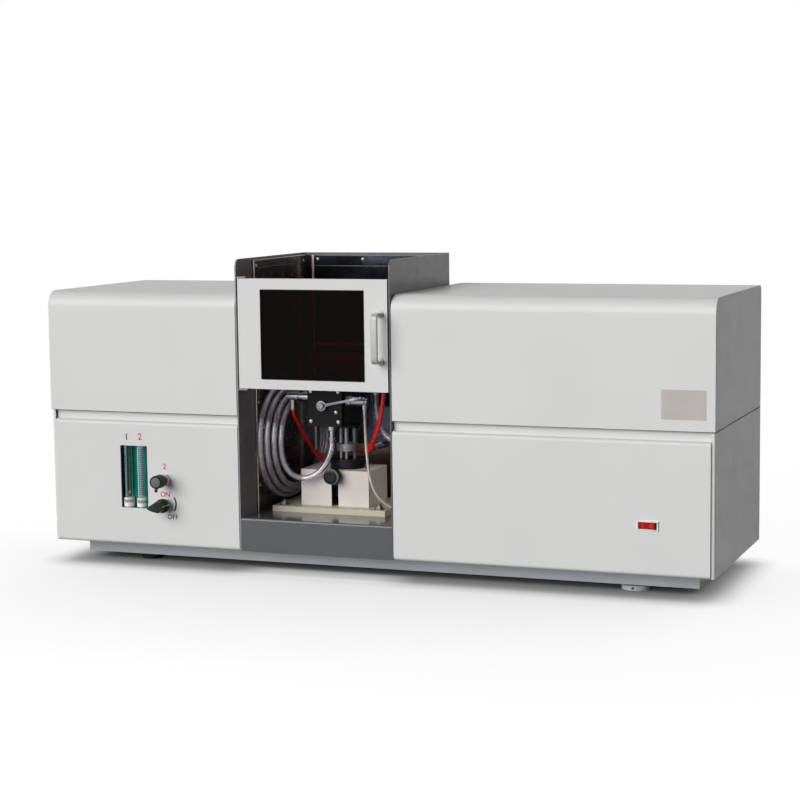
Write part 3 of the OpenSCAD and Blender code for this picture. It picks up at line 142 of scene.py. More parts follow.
class Graph:
    """A shader node tree with short calls that add nodes and join them."""

    def __init__(self, tree: bpy.types.NodeTree) -> None:
        """Keep the tree and empty it."""
        self.tree = tree
        tree.nodes.clear()

    def feed(self, socket: bpy.types.NodeSocket, value: Any) -> None:
        """Link a socket to an output, or set its number or colour.

        Args:
            socket: The input to fill.
            value: An output, a number or a colour.
        """
        if isinstance(value, bpy.types.NodeSocket):
            self.tree.links.new(value, socket)
        else:
            socket.default_value = value

    def add(self, kind: str, **inputs: Any) -> bpy.types.Node:
        """Add a node and fill its inputs.

        Args:
            kind: Node class without its ShaderNode prefix.
            inputs: Socket names, with _ for a space, and what each one takes.

        Returns:
            The new node.
        """
        node = self.tree.nodes.new("ShaderNode" + kind)
        for name, value in inputs.items():
            self.feed(node.inputs[name.replace("_", " ")], value)
        return node

    def math(self, operation: str, first: Any, second: Any) -> bpy.types.NodeSocket:
        """Add an arithmetic node with two inputs.

        Args:
            operation: Name of the operation.
            first: First output or number.
            second: Second output or number.

        Returns:
            The node's value.
        """
        node = self.add("Math")
        node.operation = operation
        self.feed(node.inputs[0], first)
        self.feed(node.inputs[1], second)
        return node.outputs[0]

    def remap(self, value: Any, start: Pair, end: Pair) -> bpy.types.NodeSocket:
        """Move a value from one span to another and hold it inside.

        Args:
            value: Output to move.
            start: Lowest and highest value of its span.
            end: What these two become.

        Returns:
            The moved value.
        """
        (low, high), (first, last) = start, end
        node = self.add("MapRange", Value=value, From_Min=low, From_Max=high, To_Min=first, To_Max=last)
        return node.outputs[0]

    def mix(self, factor: Any, first: Any, second: Any) -> bpy.types.NodeSocket:
        """Blend two colours.

        Args:
            factor: Share of the second colour.
            first: First output or colour.
            second: Second output or colour.

        Returns:
            The blended colour.
        """
        node = self.add("Mix")
        node.data_type = "RGBA"
        self.feed(node.inputs[0], factor)
        self.feed(node.inputs[6], first)
        self.feed(node.inputs[7], second)
        return node.outputs[2]

    def seen(self) -> bpy.types.NodeSocket:
        """Tell the rays that show a surface from those that only carry its light.

        Returns:
            1 for rays of the camera, through glass or off a gloss, and 0 for the others.
        """
        path = self.add("LightPath").outputs
        straight = self.math("MAXIMUM", path["Is Camera Ray"], path["Is Transmission Ray"])
        return self.math("MAXIMUM", straight, path["Is Glossy Ray"])


class Effects:
    """Shader node groups that several finishes share, each built once."""

    def __init__(self) -> None:
        """Build the groups."""
        self.grain = self._grain()
        self.edges = self._edges()
        self.dust = self._dust()

    def _group(self, name: str, inputs: dict[str, str], outputs: dict[str, str]) -> tuple[Graph, Any, Any]:
        """Start a node group.

        Args:
            name: Name of the group.
            inputs: Input names and their kind of socket.
            outputs: Output names and their kind of socket.

        Returns:
            The group's graph, its input node and its output node.
        """
        tree = bpy.data.node_groups.new(name, "ShaderNodeTree")
        for label, kind in inputs.items():
            tree.interface.new_socket(name=label, in_out="INPUT", socket_type="NodeSocket" + kind)
        for label, kind in outputs.items():
            tree.interface.new_socket(name=label, in_out="OUTPUT", socket_type="NodeSocket" + kind)
        graph = Graph(tree)
        entry = tree.nodes.new("NodeGroupInput")
        leave = tree.nodes.new("NodeGroupOutput")
        return graph, entry, leave

    def _grain(self) -> bpy.types.NodeTree:
        """Build fine relief, slow colour drift and gloss patches over a surface.

        Returns:
            The group.
        """
        graph, entry, leave = self._group(
            "surface_grain",
            {"Cells": "Float", "Stretch": "Vector", "Patches": "Float"},
            {"Height": "Float", "Tone": "Float", "Gloss": "Float"},
        )
        place = graph.add("TexCoord").outputs["Object"]
        along = graph.add("Mapping", Vector=place, Scale=entry.outputs["Stretch"]).outputs[0]
        fine = graph.add("TexNoise", Vector=along, Scale=entry.outputs["Cells"], Detail=3.0, Roughness=0.6)
        drift = graph.add("TexNoise", Vector=place, Scale=entry.outputs["Patches"], Detail=2.0)
        rub_scale = graph.math("MULTIPLY", entry.outputs["Patches"], RUB_SCALE)
        rub = graph.add("TexNoise", Vector=along, Scale=rub_scale, Detail=5.0, Roughness=0.65)
        graph.feed(leave.inputs["Height"], fine.outputs[0])
        graph.feed(leave.inputs["Tone"], graph.remap(drift.outputs[0], start=(0.3, 0.7), end=UNIT))
        graph.feed(leave.inputs["Gloss"], graph.remap(rub.outputs[0], start=(0.32, 0.68), end=UNIT))
        return graph.tree

    def _edges(self) -> bpy.types.NodeTree:
        """Build a rounded shading normal and a worn mask along edges.

        Returns:
            The group.
        """
        graph, entry, leave = self._group(
            "edge_wear", {"Radius": "Float", "Spots": "Float"}, {"Edge": "Float", "Normal": "Vector"}
        )
        bevel = graph.add("Bevel", Radius=entry.outputs["Radius"])
        bevel.samples = 4
        face = graph.add("NewGeometry").outputs["Normal"]
        turn = graph.add("VectorMath")
        turn.operation = "DOT_PRODUCT"
        graph.feed(turn.inputs[0], bevel.outputs[0])
        graph.feed(turn.inputs[1], face)
        line = graph.remap(turn.outputs["Value"], start=(0.99, 0.86), end=UNIT)
        place = graph.add("TexCoord").outputs["Object"]
        spots = graph.add("TexNoise", Vector=place, Scale=entry.outputs["Spots"], Detail=4.0)
        patchy = graph.remap(spots.outputs[0], start=(0.42, 0.62), end=(0.15, 1.0))
        graph.feed(leave.inputs["Edge"], graph.math("MULTIPLY", line, patchy))
        graph.feed(leave.inputs["Normal"], bevel.outputs[0])
        return graph.tree

    def _dust(self) -> bpy.types.NodeTree:
        """Build thin dust that settles on surfaces that face up.

        Returns:
            The group.
        """
        graph, entry, leave = self._group(
            "settled_dust", {"Amount": "Float", "Cells": "Float"}, {"Dust": "Float"}
        )
        up = graph.add("SeparateXYZ", Vector=graph.add("NewGeometry").outputs["Normal"]).outputs["Z"]
        flat = graph.remap(up, start=(0.55, 1.0), end=UNIT)
        place = graph.add("TexCoord").outputs["Object"]
        cloud = graph.add("TexNoise", Vector=place, Scale=entry.outputs["Cells"], Detail=6.0, Roughness=0.7)
        thick = graph.remap(cloud.outputs[0], start=(0.35, 0.7), end=(0.2, 1.0))
        cover = graph.math("MULTIPLY", flat, thick)
        graph.feed(leave.inputs["Dust"], graph.math("MULTIPLY", cover, entry.outputs["Amount"]))
        return graph.tree

    def place(self, graph: Graph, group: bpy.types.NodeTree, **inputs: Any) -> bpy.types.Node:
        """Put a group into a material.

        Args:
            graph: The material's graph.
            group: The group to place.
            inputs: Group inputs and what each one takes.

        Returns:
            The group node.
        """
        node = graph.add("Group")
        node.node_tree = group
        for name, value in inputs.items():
            graph.feed(node.inputs[name], value)
        return node


class Kind(Enum):
    """What a finish is made of."""

    PAINT = "paint"
    PLASTIC = "plastic"
    METAL = "metal"
    GLASS = "glass"


@dataclass(frozen=True)
class Finish:
    """A surface finish: colours, gloss, relief and wear."""

    name: str
    kind: Kind
    colour: str
    drift: str
    rough: float
    spread: float = 0.05
    cells: float = 1100.0
    relief: float = 0.05
    patches: float = 9.0
    stretch: Triple = (1.0, 1.0, 1.0)
    worn: str = ""
    dust: float = 0.0
    coat: float = 0.0
    index: float = 1.48
    edge_radius: float = 0.7
    clear: float = 1.0
    metal: float = 1.0
    cover: float = 1.0
    # Colour that the surface takes right of the bay's middle: painted light.
    right_painted_light: str = ""

    def material(self, effects: Effects) -> bpy.types.Material:
        """Build the finish's material.

        Args:
            effects: Shared node groups.

        Returns:
            A material with procedural colour, roughness and relief.
        """
        made = bpy.data.materials.new(self.name)
        made.use_nodes = True
        graph = Graph(made.node_tree)
        shader = graph.add(
            "BsdfPrincipled", IOR=self.index, Coat_Weight=self.coat, Coat_Roughness=COAT_ROUGHNESS
        )
        end = graph.add("OutputMaterial", Surface=shader.outputs[0])
        end.is_active_output = True
        if self.kind is Kind.METAL:
            shader.inputs["Metallic"].default_value = self.metal
        if self.kind is Kind.GLASS:
            shader.inputs["Transmission Weight"].default_value = self.clear
        shader.inputs["Alpha"].default_value = self.cover
        grain = effects.place(
            graph, effects.grain, Cells=self.cells, Stretch=self.stretch, Patches=self.patches
        )
        colour = graph.mix(grain.outputs["Tone"], linear_colour(self.colour), linear_colour(self.drift))
        span = (self.rough - self.spread, self.rough + self.spread)
        gloss = graph.remap(grain.outputs["Gloss"], UNIT, span)
        # Right of the bay's middle the colour turns much lighter: painted light on the right liner.
        if self.right_painted_light:
            place = graph.add("SeparateXYZ", Vector=graph.add("TexCoord").outputs["Object"])
            right = graph.math("GREATER_THAN", place.outputs["X"], BAY_MIDDLE * MM)
            colour = graph.mix(right, colour, linear_colour(self.right_painted_light))
        bump = graph.add("Bump", Strength=self.relief, Distance=RELIEF_DEPTH, Height=grain.outputs["Height"])
        if self.worn:
            edges = effects.place(graph, effects.edges, Radius=self.edge_radius * MM, Spots=WEAR_SPOTS)
            colour = graph.mix(edges.outputs["Edge"], colour, linear_colour(self.worn))
            graph.feed(bump.inputs["Normal"], edges.outputs["Normal"])
        if self.dust:
            dust = effects.place(graph, effects.dust, Amount=self.dust, Cells=DUST_CELLS)
            colour = graph.mix(dust.outputs["Dust"], colour, linear_colour(DUST_COLOUR))
            gloss = graph.math("ADD", gloss, graph.math("MULTIPLY", dust.outputs["Dust"], DUST_MATT))
        graph.feed(shader.inputs["Base Color"], colour)
        graph.feed(shader.inputs["Roughness"], gloss)
        graph.feed(shader.inputs["Normal"], bump.outputs[0])
        return made


PAINT, PLASTIC, METAL, GLASS = Kind
BRUSHED_X = (0.02, 1.0, 1.0)
BRUSHED_Z = (1.0, 1.0, 0.02)

# Columns: name, kind, colour, drift, roughness, its spread, relief cells, relief, colour patches and stretch.
FINISHES = (
    Finish(
        "white_paint", PAINT, "#e3e3e2", "#dfdfde", 0.42, 0.05, 1500.0, 0.05, 6.0,
        worn="#ebebea", dust=0.05,
    ),
    Finish(
        "grey_paint", PAINT, "#5b5c5f", "#555659", 0.34, 0.06, 1300.0, 0.06, 9.0,
        worn="#75767a", dust=0.06,
    ),
    # A lighter copy of grey_paint for the bay's left wall: painted light on a wall that lies in shade.
    Finish(
        "lit_grey_paint", PAINT, "#909194", "#88898c", 0.34, 0.06, 1300.0, 0.06, 9.0,
        worn="#9c9da0", dust=0.06,
    ),
    Finish(
        "tray_grey", PAINT, "#c3c6ca", "#bbbec2", 0.4, 0.06, 1300.0, 0.07, 9.0,
        worn="#cbced1", dust=0.05,
    ),
    Finish(
        "black_steel", METAL, "#484e5a", "#24252b", 0.1, 0.06, 500.0, 0.01, 26.0,
        worn="#707176", edge_radius=0.4, metal=0.85,
    ),
    Finish("seam_steel", METAL, "#5c5c61", "#4d4d52", 0.32, 0.08, 700.0, 0.05, 24.0),
    Finish("rim_steel", METAL, "#cdc2b9", "#b7aca3", 0.36, 0.08, 700.0, 0.05, 24.0),
    # The side liners turn much lighter right of the bay's middle: painted light on the right liner.
    Finish(
        "side_steel", METAL, "#968e87", "#756e68", 0.22, 0.08, 500.0, 0.01, 12.0,
        worn="#a69f99", edge_radius=0.4, metal=0.88, right_painted_light="#f0ece7",
    ),
    Finish("kick_steel", METAL, "#6c5a53", "#5a4c47", 0.2, 0.06, 500.0, 0.02, 14.0, metal=0.8),
    Finish(
        "floor_grey", PAINT, "#58595b", "#535456", 0.2, 0.05, 900.0, 0.02, 9.0,
        worn="#6c6d70", edge_radius=2.0, coat=0.15,
    ),
    Finish("rubber", PLASTIC, "#141415", "#1c1c1d", 0.75, 0.1, 1600.0, 0.3, 30.0, dust=0.12, index=1.3),
    Finish(
        "steel", METAL, "#989a9e", "#84868a", 0.28, 0.08, 700.0, 0.06, 24.0, BRUSHED_X,
        worn="#bbbcbf", edge_radius=0.3,
    ),
    Finish(
        "dull_steel", METAL, "#74757a", "#63646a", 0.32, 0.08, 700.0, 0.06, 24.0,
        worn="#a0a1a5", edge_radius=0.3,
    ),
    Finish(
        "aluminium", METAL, "#c4c5c8", "#b3b5b8", 0.32, 0.08, 900.0, 0.08, 24.0, BRUSHED_Z,
        worn="#dedfe1", edge_radius=0.3,
    ),
    Finish(
        "brass", METAL, "#b98a55", "#a87545", 0.3, 0.08, 700.0, 0.07, 24.0,
        worn="#dcb27c", edge_radius=0.3,
    ),
    Finish(
        "dark_bronze", METAL, "#75675d", "#63564d", 0.38, 0.08, 700.0, 0.07, 24.0,
        worn="#8f8177", edge_radius=0.3,
    ),
    Finish("smoked_glass", GLASS, "#6e170c", "#64140a", 0.03, 0.02, 300.0, 0.004, 7.0, index=1.15),
    Finish(
        "cream_paint", PAINT, "#c6c1ab", "#bcb7a0", 0.4, 0.08, 900.0, 0.08, 14.0,
        worn="#d0cbb6", dust=0.06,
    ),
    Finish(
        "black_plastic", PLASTIC, "#141415", "#19191a", 0.32, 0.08, 1500.0, 0.12, 20.0,
        worn="#2c2c2d", edge_radius=0.4, index=1.28,
    ),
    Finish(
        "plate_black", PLASTIC, "#0f0f10", "#131314", 0.42, 0.06, 1500.0, 0.03, 20.0,
        worn="#242425", edge_radius=0.4, index=1.19,
    ),
    Finish(
        "titanium", METAL, "#4f4c4a", "#413d3b", 0.4, 0.1, 800.0, 0.08, 30.0,
        worn="#6f6c69", edge_radius=0.3,
    ),
    Finish(
        "clear_hose", GLASS, "#f8f5f9", "#eee9f3", 0.03, 0.02, 120.0, 0.003, 22.0,
        coat=0.5, index=1.5, clear=0.91,
    ),
    Finish("pale_tube", GLASS, "#ddd7c6", "#d2cbb8", 0.16, 0.05, 400.0, 0.02, 22.0, index=1.4, clear=0.35),
    Finish("red_hose", PLASTIC, "#e01a0e", "#cc140a", 0.3, 0.07, 900.0, 0.08, 25.0, coat=0.2),
    Finish(
        "green_plastic", PLASTIC, "#0d7461", "#0a6553", 0.34, 0.08, 900.0, 0.05, 25.0,
        worn="#2f8f7c", edge_radius=0.4,
    ),
    Finish(
        "flow_green", PLASTIC, "#12a88f", "#0e9c83", 0.34, 0.08, 900.0, 0.05, 25.0,
        worn="#2fae98", edge_radius=0.4, index=1.3,
    ),
    Finish(
        "clear_acrylic", PLASTIC, "#c4d6dc", "#b8ccd4", 0.1, 0.04, 300.0, 0.01, 22.0,
        index=1.49, cover=0.1,
    ),
    Finish("float_ball", METAL, "#c7a184", "#b48b6e", 0.25, 0.06, 900.0, 0.04, 60.0),
    Finish(
        "white_plastic", PLASTIC, "#fbf8f6", "#f5f2f0", 0.36, 0.06, 1200.0, 0.06, 22.0,
        worn="#fcfaf8", edge_radius=0.5,
    ),
    Finish(
        "warm_white", PAINT, "#dcd5d0", "#d4ccc7", 0.34, 0.06, 1200.0, 0.05, 16.0,
        worn="#e4ded9", edge_radius=0.5,
    ),
    Finish(
        "satin_alloy", METAL, "#8f9092", "#818284", 0.46, 0.08, 900.0, 0.08, 30.0,
        worn="#a6a7a9", edge_radius=0.3,
    ),
    Finish(
        "handle_alloy", METAL, "#b4b3b1", "#aaa9a7", 0.4, 0.06, 900.0, 0.06, 30.0,
        worn="#c0bfbd", edge_radius=0.3, metal=0.2,
    ),
    Finish(
        "column_alloy", METAL, "#8f9092", "#7e7f83", 0.44, 0.08, 900.0, 0.08, 30.0, BRUSHED_Z,
        worn="#a3a4a8", edge_radius=0.3, metal=0.6,
    ),
    Finish(
        "pale_zinc", PAINT, "#d0d0d1", "#c6c6c8", 0.3, 0.06, 900.0, 0.04, 30.0,
        worn="#dcdcdc", edge_radius=0.4,
    ),
    Finish(
        "red_plastic", PLASTIC, "#b40c0a", "#a40907", 0.28, 0.06, 1200.0, 0.05, 30.0,
        worn="#c3261f", edge_radius=0.4, index=1.24,
    ),
    Finish("lamp_glass", GLASS, "#f2f6f7", "#e8f0f2", 0.03, 0.02, 200.0, 0.006, 20.0, index=1.47),
    Finish(
        "dark_cast", PAINT, "#46484a", "#3c3e40", 0.5, 0.08, 1000.0, 0.2, 18.0,
        worn="#66686a", dust=0.15,
    ),
    Finish("black_ink", PLASTIC, "#141415", "#1b1b1c", 0.5, 0.06, 1600.0, 0.04, 60.0, index=1.3),
    Finish("red_ink", PLASTIC, "#d2231c", "#c11a15", 0.5, 0.06, 1600.0, 0.04, 60.0),
    Finish("pale_ink", PLASTIC, "#c9c2ac", "#bdb59e", 0.5, 0.06, 1600.0, 0.04, 60.0),
    Finish("opal_ink", PLASTIC, "#93aab2", "#86a0a9", 0.4, 0.06, 1600.0, 0.04, 60.0),
    # A darker copy of opal_ink: painted shade on the first flow tube's strip.
    Finish("shaded_opal_ink", PLASTIC, "#7b979f", "#6f8c94", 0.4, 0.06, 1600.0, 0.04, 60.0),
    # Pale ink for painted highlights on the flow tubes.
    Finish("painted_glint", PLASTIC, "#c5d8da", "#b8cfd2", 0.3, 0.06, 1600.0, 0.03, 60.0),
    Finish("faint_ink", PLASTIC, "#cf4f4a", "#c5443f", 0.5, 0.06, 1600.0, 0.04, 60.0),
    Finish(
        "bare_card", PLASTIC, "#c5bfbb", "#bdb7b3", 0.5, 0.06, 1400.0, 0.05, 24.0,
        worn="#cfcac6", edge_radius=0.2,
    ),
    Finish("grey_cap", PLASTIC, "#6e7175", "#666a6e", 0.5, 0.08, 1200.0, 0.06, 60.0, index=1.3),
    Finish("cathode", METAL, "#8d8f92", "#77797c", 0.3, 0.1, 900.0, 0.08, 50.0),
)


class Palette:
    """The materials of all finishes, by name."""

    def __init__(self, effects: Effects) -> None:
        """Build each finish's material once."""
        self.made = {finish.name: finish.material(effects) for finish in FINISHES}

    def dress(self, obj: bpy.types.Object, finish: str) -> None:
        """Give a whole object one finish by name."""
        obj.data.materials.clear()
        obj.data.materials.append(self.made[finish])


def arc_points(centre: Pair, radius: float, start: float, end: float, steps: int) -> list[Pair]:
    """Points along an arc.

    Args:
        centre: Middle of the arc.
        radius: Its radius.
        start: First angle, in degrees.
        end: Last angle, in degrees.
        steps: Number of chords.

    Returns:
        The arc's points, both ends among them.
    """
    angles = [math.radians(start + (end - start) * k / steps) for k in range(steps + 1)]
    return [(centre[0] + radius * math.cos(a), centre[1] + radius * math.sin(a)) for a in angles]


def flat_section(half_wide: float, half_thick: float) -> list[Pair]:
    """Corners of a flat strip's section.

    Args:
        half_wide: Half the strip's width.
        half_thick: Half its thickness.

    Returns:
        The four corners.
    """
    w, t = half_wide, half_thick
    return [(-w, -t), (w, -t), (w, t), (-w, t)]


def rounded_outline(centre: Pair, half: Pair, radius: float, steps: int) -> list[Pair]:
    """Outline of a rectangle with rounded corners.

    Args:
        centre: Middle of the rectangle.
        half: Half its width and half its height.
        radius: Radius of the corners.
        steps: Chords of each corner.

    Returns:
        Points round the outline.
    """
    wide, tall = half[0] - radius, half[1] - radius
    out = []
    for k, (i, j) in enumerate(((1, 1), (-1, 1), (-1, -1), (1, -1))):
        middle = (centre[0] + i * wide, centre[1] + j * tall)
        out += arc_points(middle, radius, 90 * k, 90 * k + 90, steps)
    return out


def smooth_route(points: Sequence[Vector], rings: int) -> list[Vector]:
    """Curve through points, as the hoses of the solids have it.

    Args:
        points: Points that the curve passes.
        rings: Steps between two points.

    Returns:
        Points along the curve.
    """
    last = len(points) - 1
    out = []
    for i in range(last):
        a, b = points[max(i - 1, 0)], points[i]
        c, d = points[i + 1], points[min(i + 2, last)]
        for k in range(rings):
            t = k / rings
            bend = (2 * a - 5 * b + 4 * c - d) + t * (3 * b - a - 3 * c + d)
            out.append(b + 0.5 * t * ((c - a) + t * bend))
    out.append(points[last].copy())
    return out


class Blank:
    """A mesh in the making. Sizes are in millimetres, places in metres."""

    def __init__(self) -> None:
        """Start with an empty mesh."""
        self.mesh = bmesh.new()

    def _skin(self, rings: list[list[bmesh.types.BMVert]], close: bool, caps: bool) -> None:
        """Join rings of points with faces.

        Args:
            rings: Rings of the same count of points, one after the other.
            close: True to join the last ring to the first.
            caps: True to close the first and the last ring with a face.
        """
        pairs = list(zip(rings, rings[1:]))
        if close:
            pairs.append((rings[-1], rings[0]))
        for first, second in pairs:
            count = len(first)
            for k in range(count):
                m = (k + 1) % count
                self.mesh.faces.new((first[k], first[m], second[m], second[k]))
        if caps:
            self.mesh.faces.new(list(reversed(rings[0])))
            self.mesh.faces.new(rings[-1])

    def turned(
        self, base: Vector, axis: Triple, profile: Sequence[Pair], sides: int = 40,
        flutes: int = 0, depth: float = 0.0, span: Pair = (0.0, 0.0), ring: bool = False,
    ) -> Blank:
        """Add a turned solid.

        Args:
            base: Point on the axis where the profile starts.
            axis: Direction of the axis.
            profile: Pairs of radius and place along the axis, from one end to the other.
            sides: Points round each ring.
            flutes: Grip ridges round the rim, or 0.
            depth: Depth of the ridges.
            span: Stretch of the axis that has ridges.
            ring: True where the profile closes on itself round a hole.

        Returns:
            This mesh.
        """
        line = Vector(axis).normalized()
        side = line.orthogonal().normalized()
        up = line.cross(side)
        rings = []
        for radius, along in profile:
            points = []
            for k in range(sides):
                turn = 2 * math.pi * k / sides
                r = radius
                if flutes and span[0] <= along <= span[1]:
                    r -= depth * (0.5 - 0.5 * math.cos(turn * flutes))
                offset = side * (r * math.cos(turn)) + up * (r * math.sin(turn))
                points.append(self.mesh.verts.new(base + (offset + line * along) * MM))
            rings.append(points)
        self._skin(rings, close=ring, caps=not ring)
        return self

    def swept(
        self, path: Sequence[Vector], section: Sequence[Pair], side: Triple | None = None,
        closed: bool = False,
    ) -> Blank:
        """Add a section swept along a path, turning as little as possible.

        Args:
            path: Points of the path, in metres.
            section: Outline across the path.
            side: First direction of the section, or any.
            closed: True where the path's end joins its start.

        Returns:
            This mesh.
        """
        self._skin(self._rings(path, section, side, closed), close=closed, caps=not closed)
        return self

    def _rings(
        self, path: Sequence[Vector], section: Sequence[Pair], side: Triple | None, closed: bool
    ) -> list[list[bmesh.types.BMVert]]:
        """Place a section at each point of a path.

        Args:
            path: Points of the path, in metres.
            section: Outline across the path.
            side: First direction of the section, or any.
            closed: True where the path's end joins its start.

        Returns:
            One ring of points for each point of the path.
        """
        count = len(path)
        rings = []
        normal = Vector(side) if side else None
        for i in range(count):
            before = path[i - 1] if i or closed else path[0]
            after = path[(i + 1) % count] if i < count - 1 or closed else path[i]
            line = (after - before).normalized()
            if normal is None:
                normal = line.orthogonal()
            normal = (normal - line * normal.dot(line)).normalized()
            other = line.cross(normal)
            rings.append([self.mesh.verts.new(path[i] + (normal * u + other * v) * MM) for u, v in section])
        return rings

    def hose(self, path: Sequence[Vector], radius: float, bore: float, sides: int = 20) -> Blank:
        """Add a hose with a bore.

        Args:
            path: Points of its middle, in metres.
            radius: Outer radius.
            bore: Radius of the bore.
            sides: Points round the hose.

        Returns:
            This mesh.
        """
        outer = self._rings(path, arc_points((0, 0), radius, 0, 360, sides)[:-1], side=None, closed=False)
        inner = self._rings(path, arc_points((0, 0), bore, 0, 360, sides)[:-1], side=None, closed=False)
        self._skin(outer, close=False, caps=False)
        self._skin(inner, close=False, caps=False)
        self._skin([outer[0], inner[0]], close=False, caps=False)
        self._skin([outer[-1], inner[-1]], close=False, caps=False)
        return self

    def box(self, low: Vector, high: Vector, radius: float, steps: int = 2) -> Blank:
        """Add a block with rounded edges.

        Args:
            low: Lowest corner, in metres.
            high: Highest corner, in metres.
            radius: Radius of the edges.
            steps: Facets of each rounded edge.

        Returns:
            This mesh.
        """
        made = bmesh.ops.create_cube(self.mesh, size=1.0)["verts"]
        size = high - low
        for v in made:
            v.co = Vector([low[k] + (v.co[k] + 0.5) * size[k] for k in range(3)])
        return self.eased(list(dict.fromkeys(e for v in made for e in v.link_edges)), radius, steps)

    def eased(self, edges: list[bmesh.types.BMEdge], radius: float, steps: int) -> Blank:
        """Round some edges.

        Args:
            edges: The edges.
            radius: Radius of the round.
            steps: Facets of the round.

        Returns:
            This mesh.
        """
        bmesh.ops.bevel(
            self.mesh, geom=edges, offset=radius * MM, segments=steps, profile=0.5, affect="EDGES"
        )
        return self

    def plate(self, outline: Sequence[Vector], push: Vector) -> Blank:
        """Add a flat plate.

        Args:
            outline: Corners of one face, in metres.
            push: From that face to the other.

        Returns:
            This mesh.
        """
        first = [self.mesh.verts.new(p) for p in outline]
        second = [self.mesh.verts.new(p + push) for p in outline]
        self._skin([first, second], close=False, caps=True)
        return self

    def moved(self, matrix: Matrix) -> Blank:
        """Move all that is in the mesh so far."""
        bmesh.ops.transform(self.mesh, matrix=matrix, verts=self.mesh.verts)
        return self

    def object(self, name: str, crease: float = CREASE) -> bpy.types.Object:
        """Close the mesh and put it in the scene.

        Args:
            name: Name of the new object.
            crease: Least angle of an edge that stays sharp, in degrees.

        Returns:
            The new object.
        """
        bmesh.ops.recalc_face_normals(self.mesh, faces=self.mesh.faces)
        data = bpy.data.meshes.new(name)
        self.mesh.to_mesh(data)
        self.mesh.free()
        data.polygons.foreach_set("use_smooth", [True] * len(data.polygons))
        data.set_sharp_from_angle(angle=math.radians(crease))
        made = bpy.data.objects.new(name, data)
        bpy.context.scene.collection.objects.link(made)
        return made


@dataclass
class Bench:
    """What the sub-assemblies share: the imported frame, the palette and the datum points."""

    frame: dict[str, Any]
    palette: Palette
    bay: Datum
    front: Datum

    def fit(
        self, blank: Blank, name: str, finish: str, body: str, replaces: Sequence[str] = ()
    ) -> bpy.types.Object:
        """Finish a piece and put it on its body.

        Args:
            blank: The piece's mesh.
            name: Its name.
            finish: Name of its finish.
            body: The body that it moves with.
            replaces: Solids that it stands for.

        Returns:
            The piece.
        """
        made = blank.object(name)
        self.palette.dress(made, finish)
        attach(made, body)
        if replaces:
            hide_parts(*replaces)
        LOG.info("piece %s on %s", name, body)
        return made


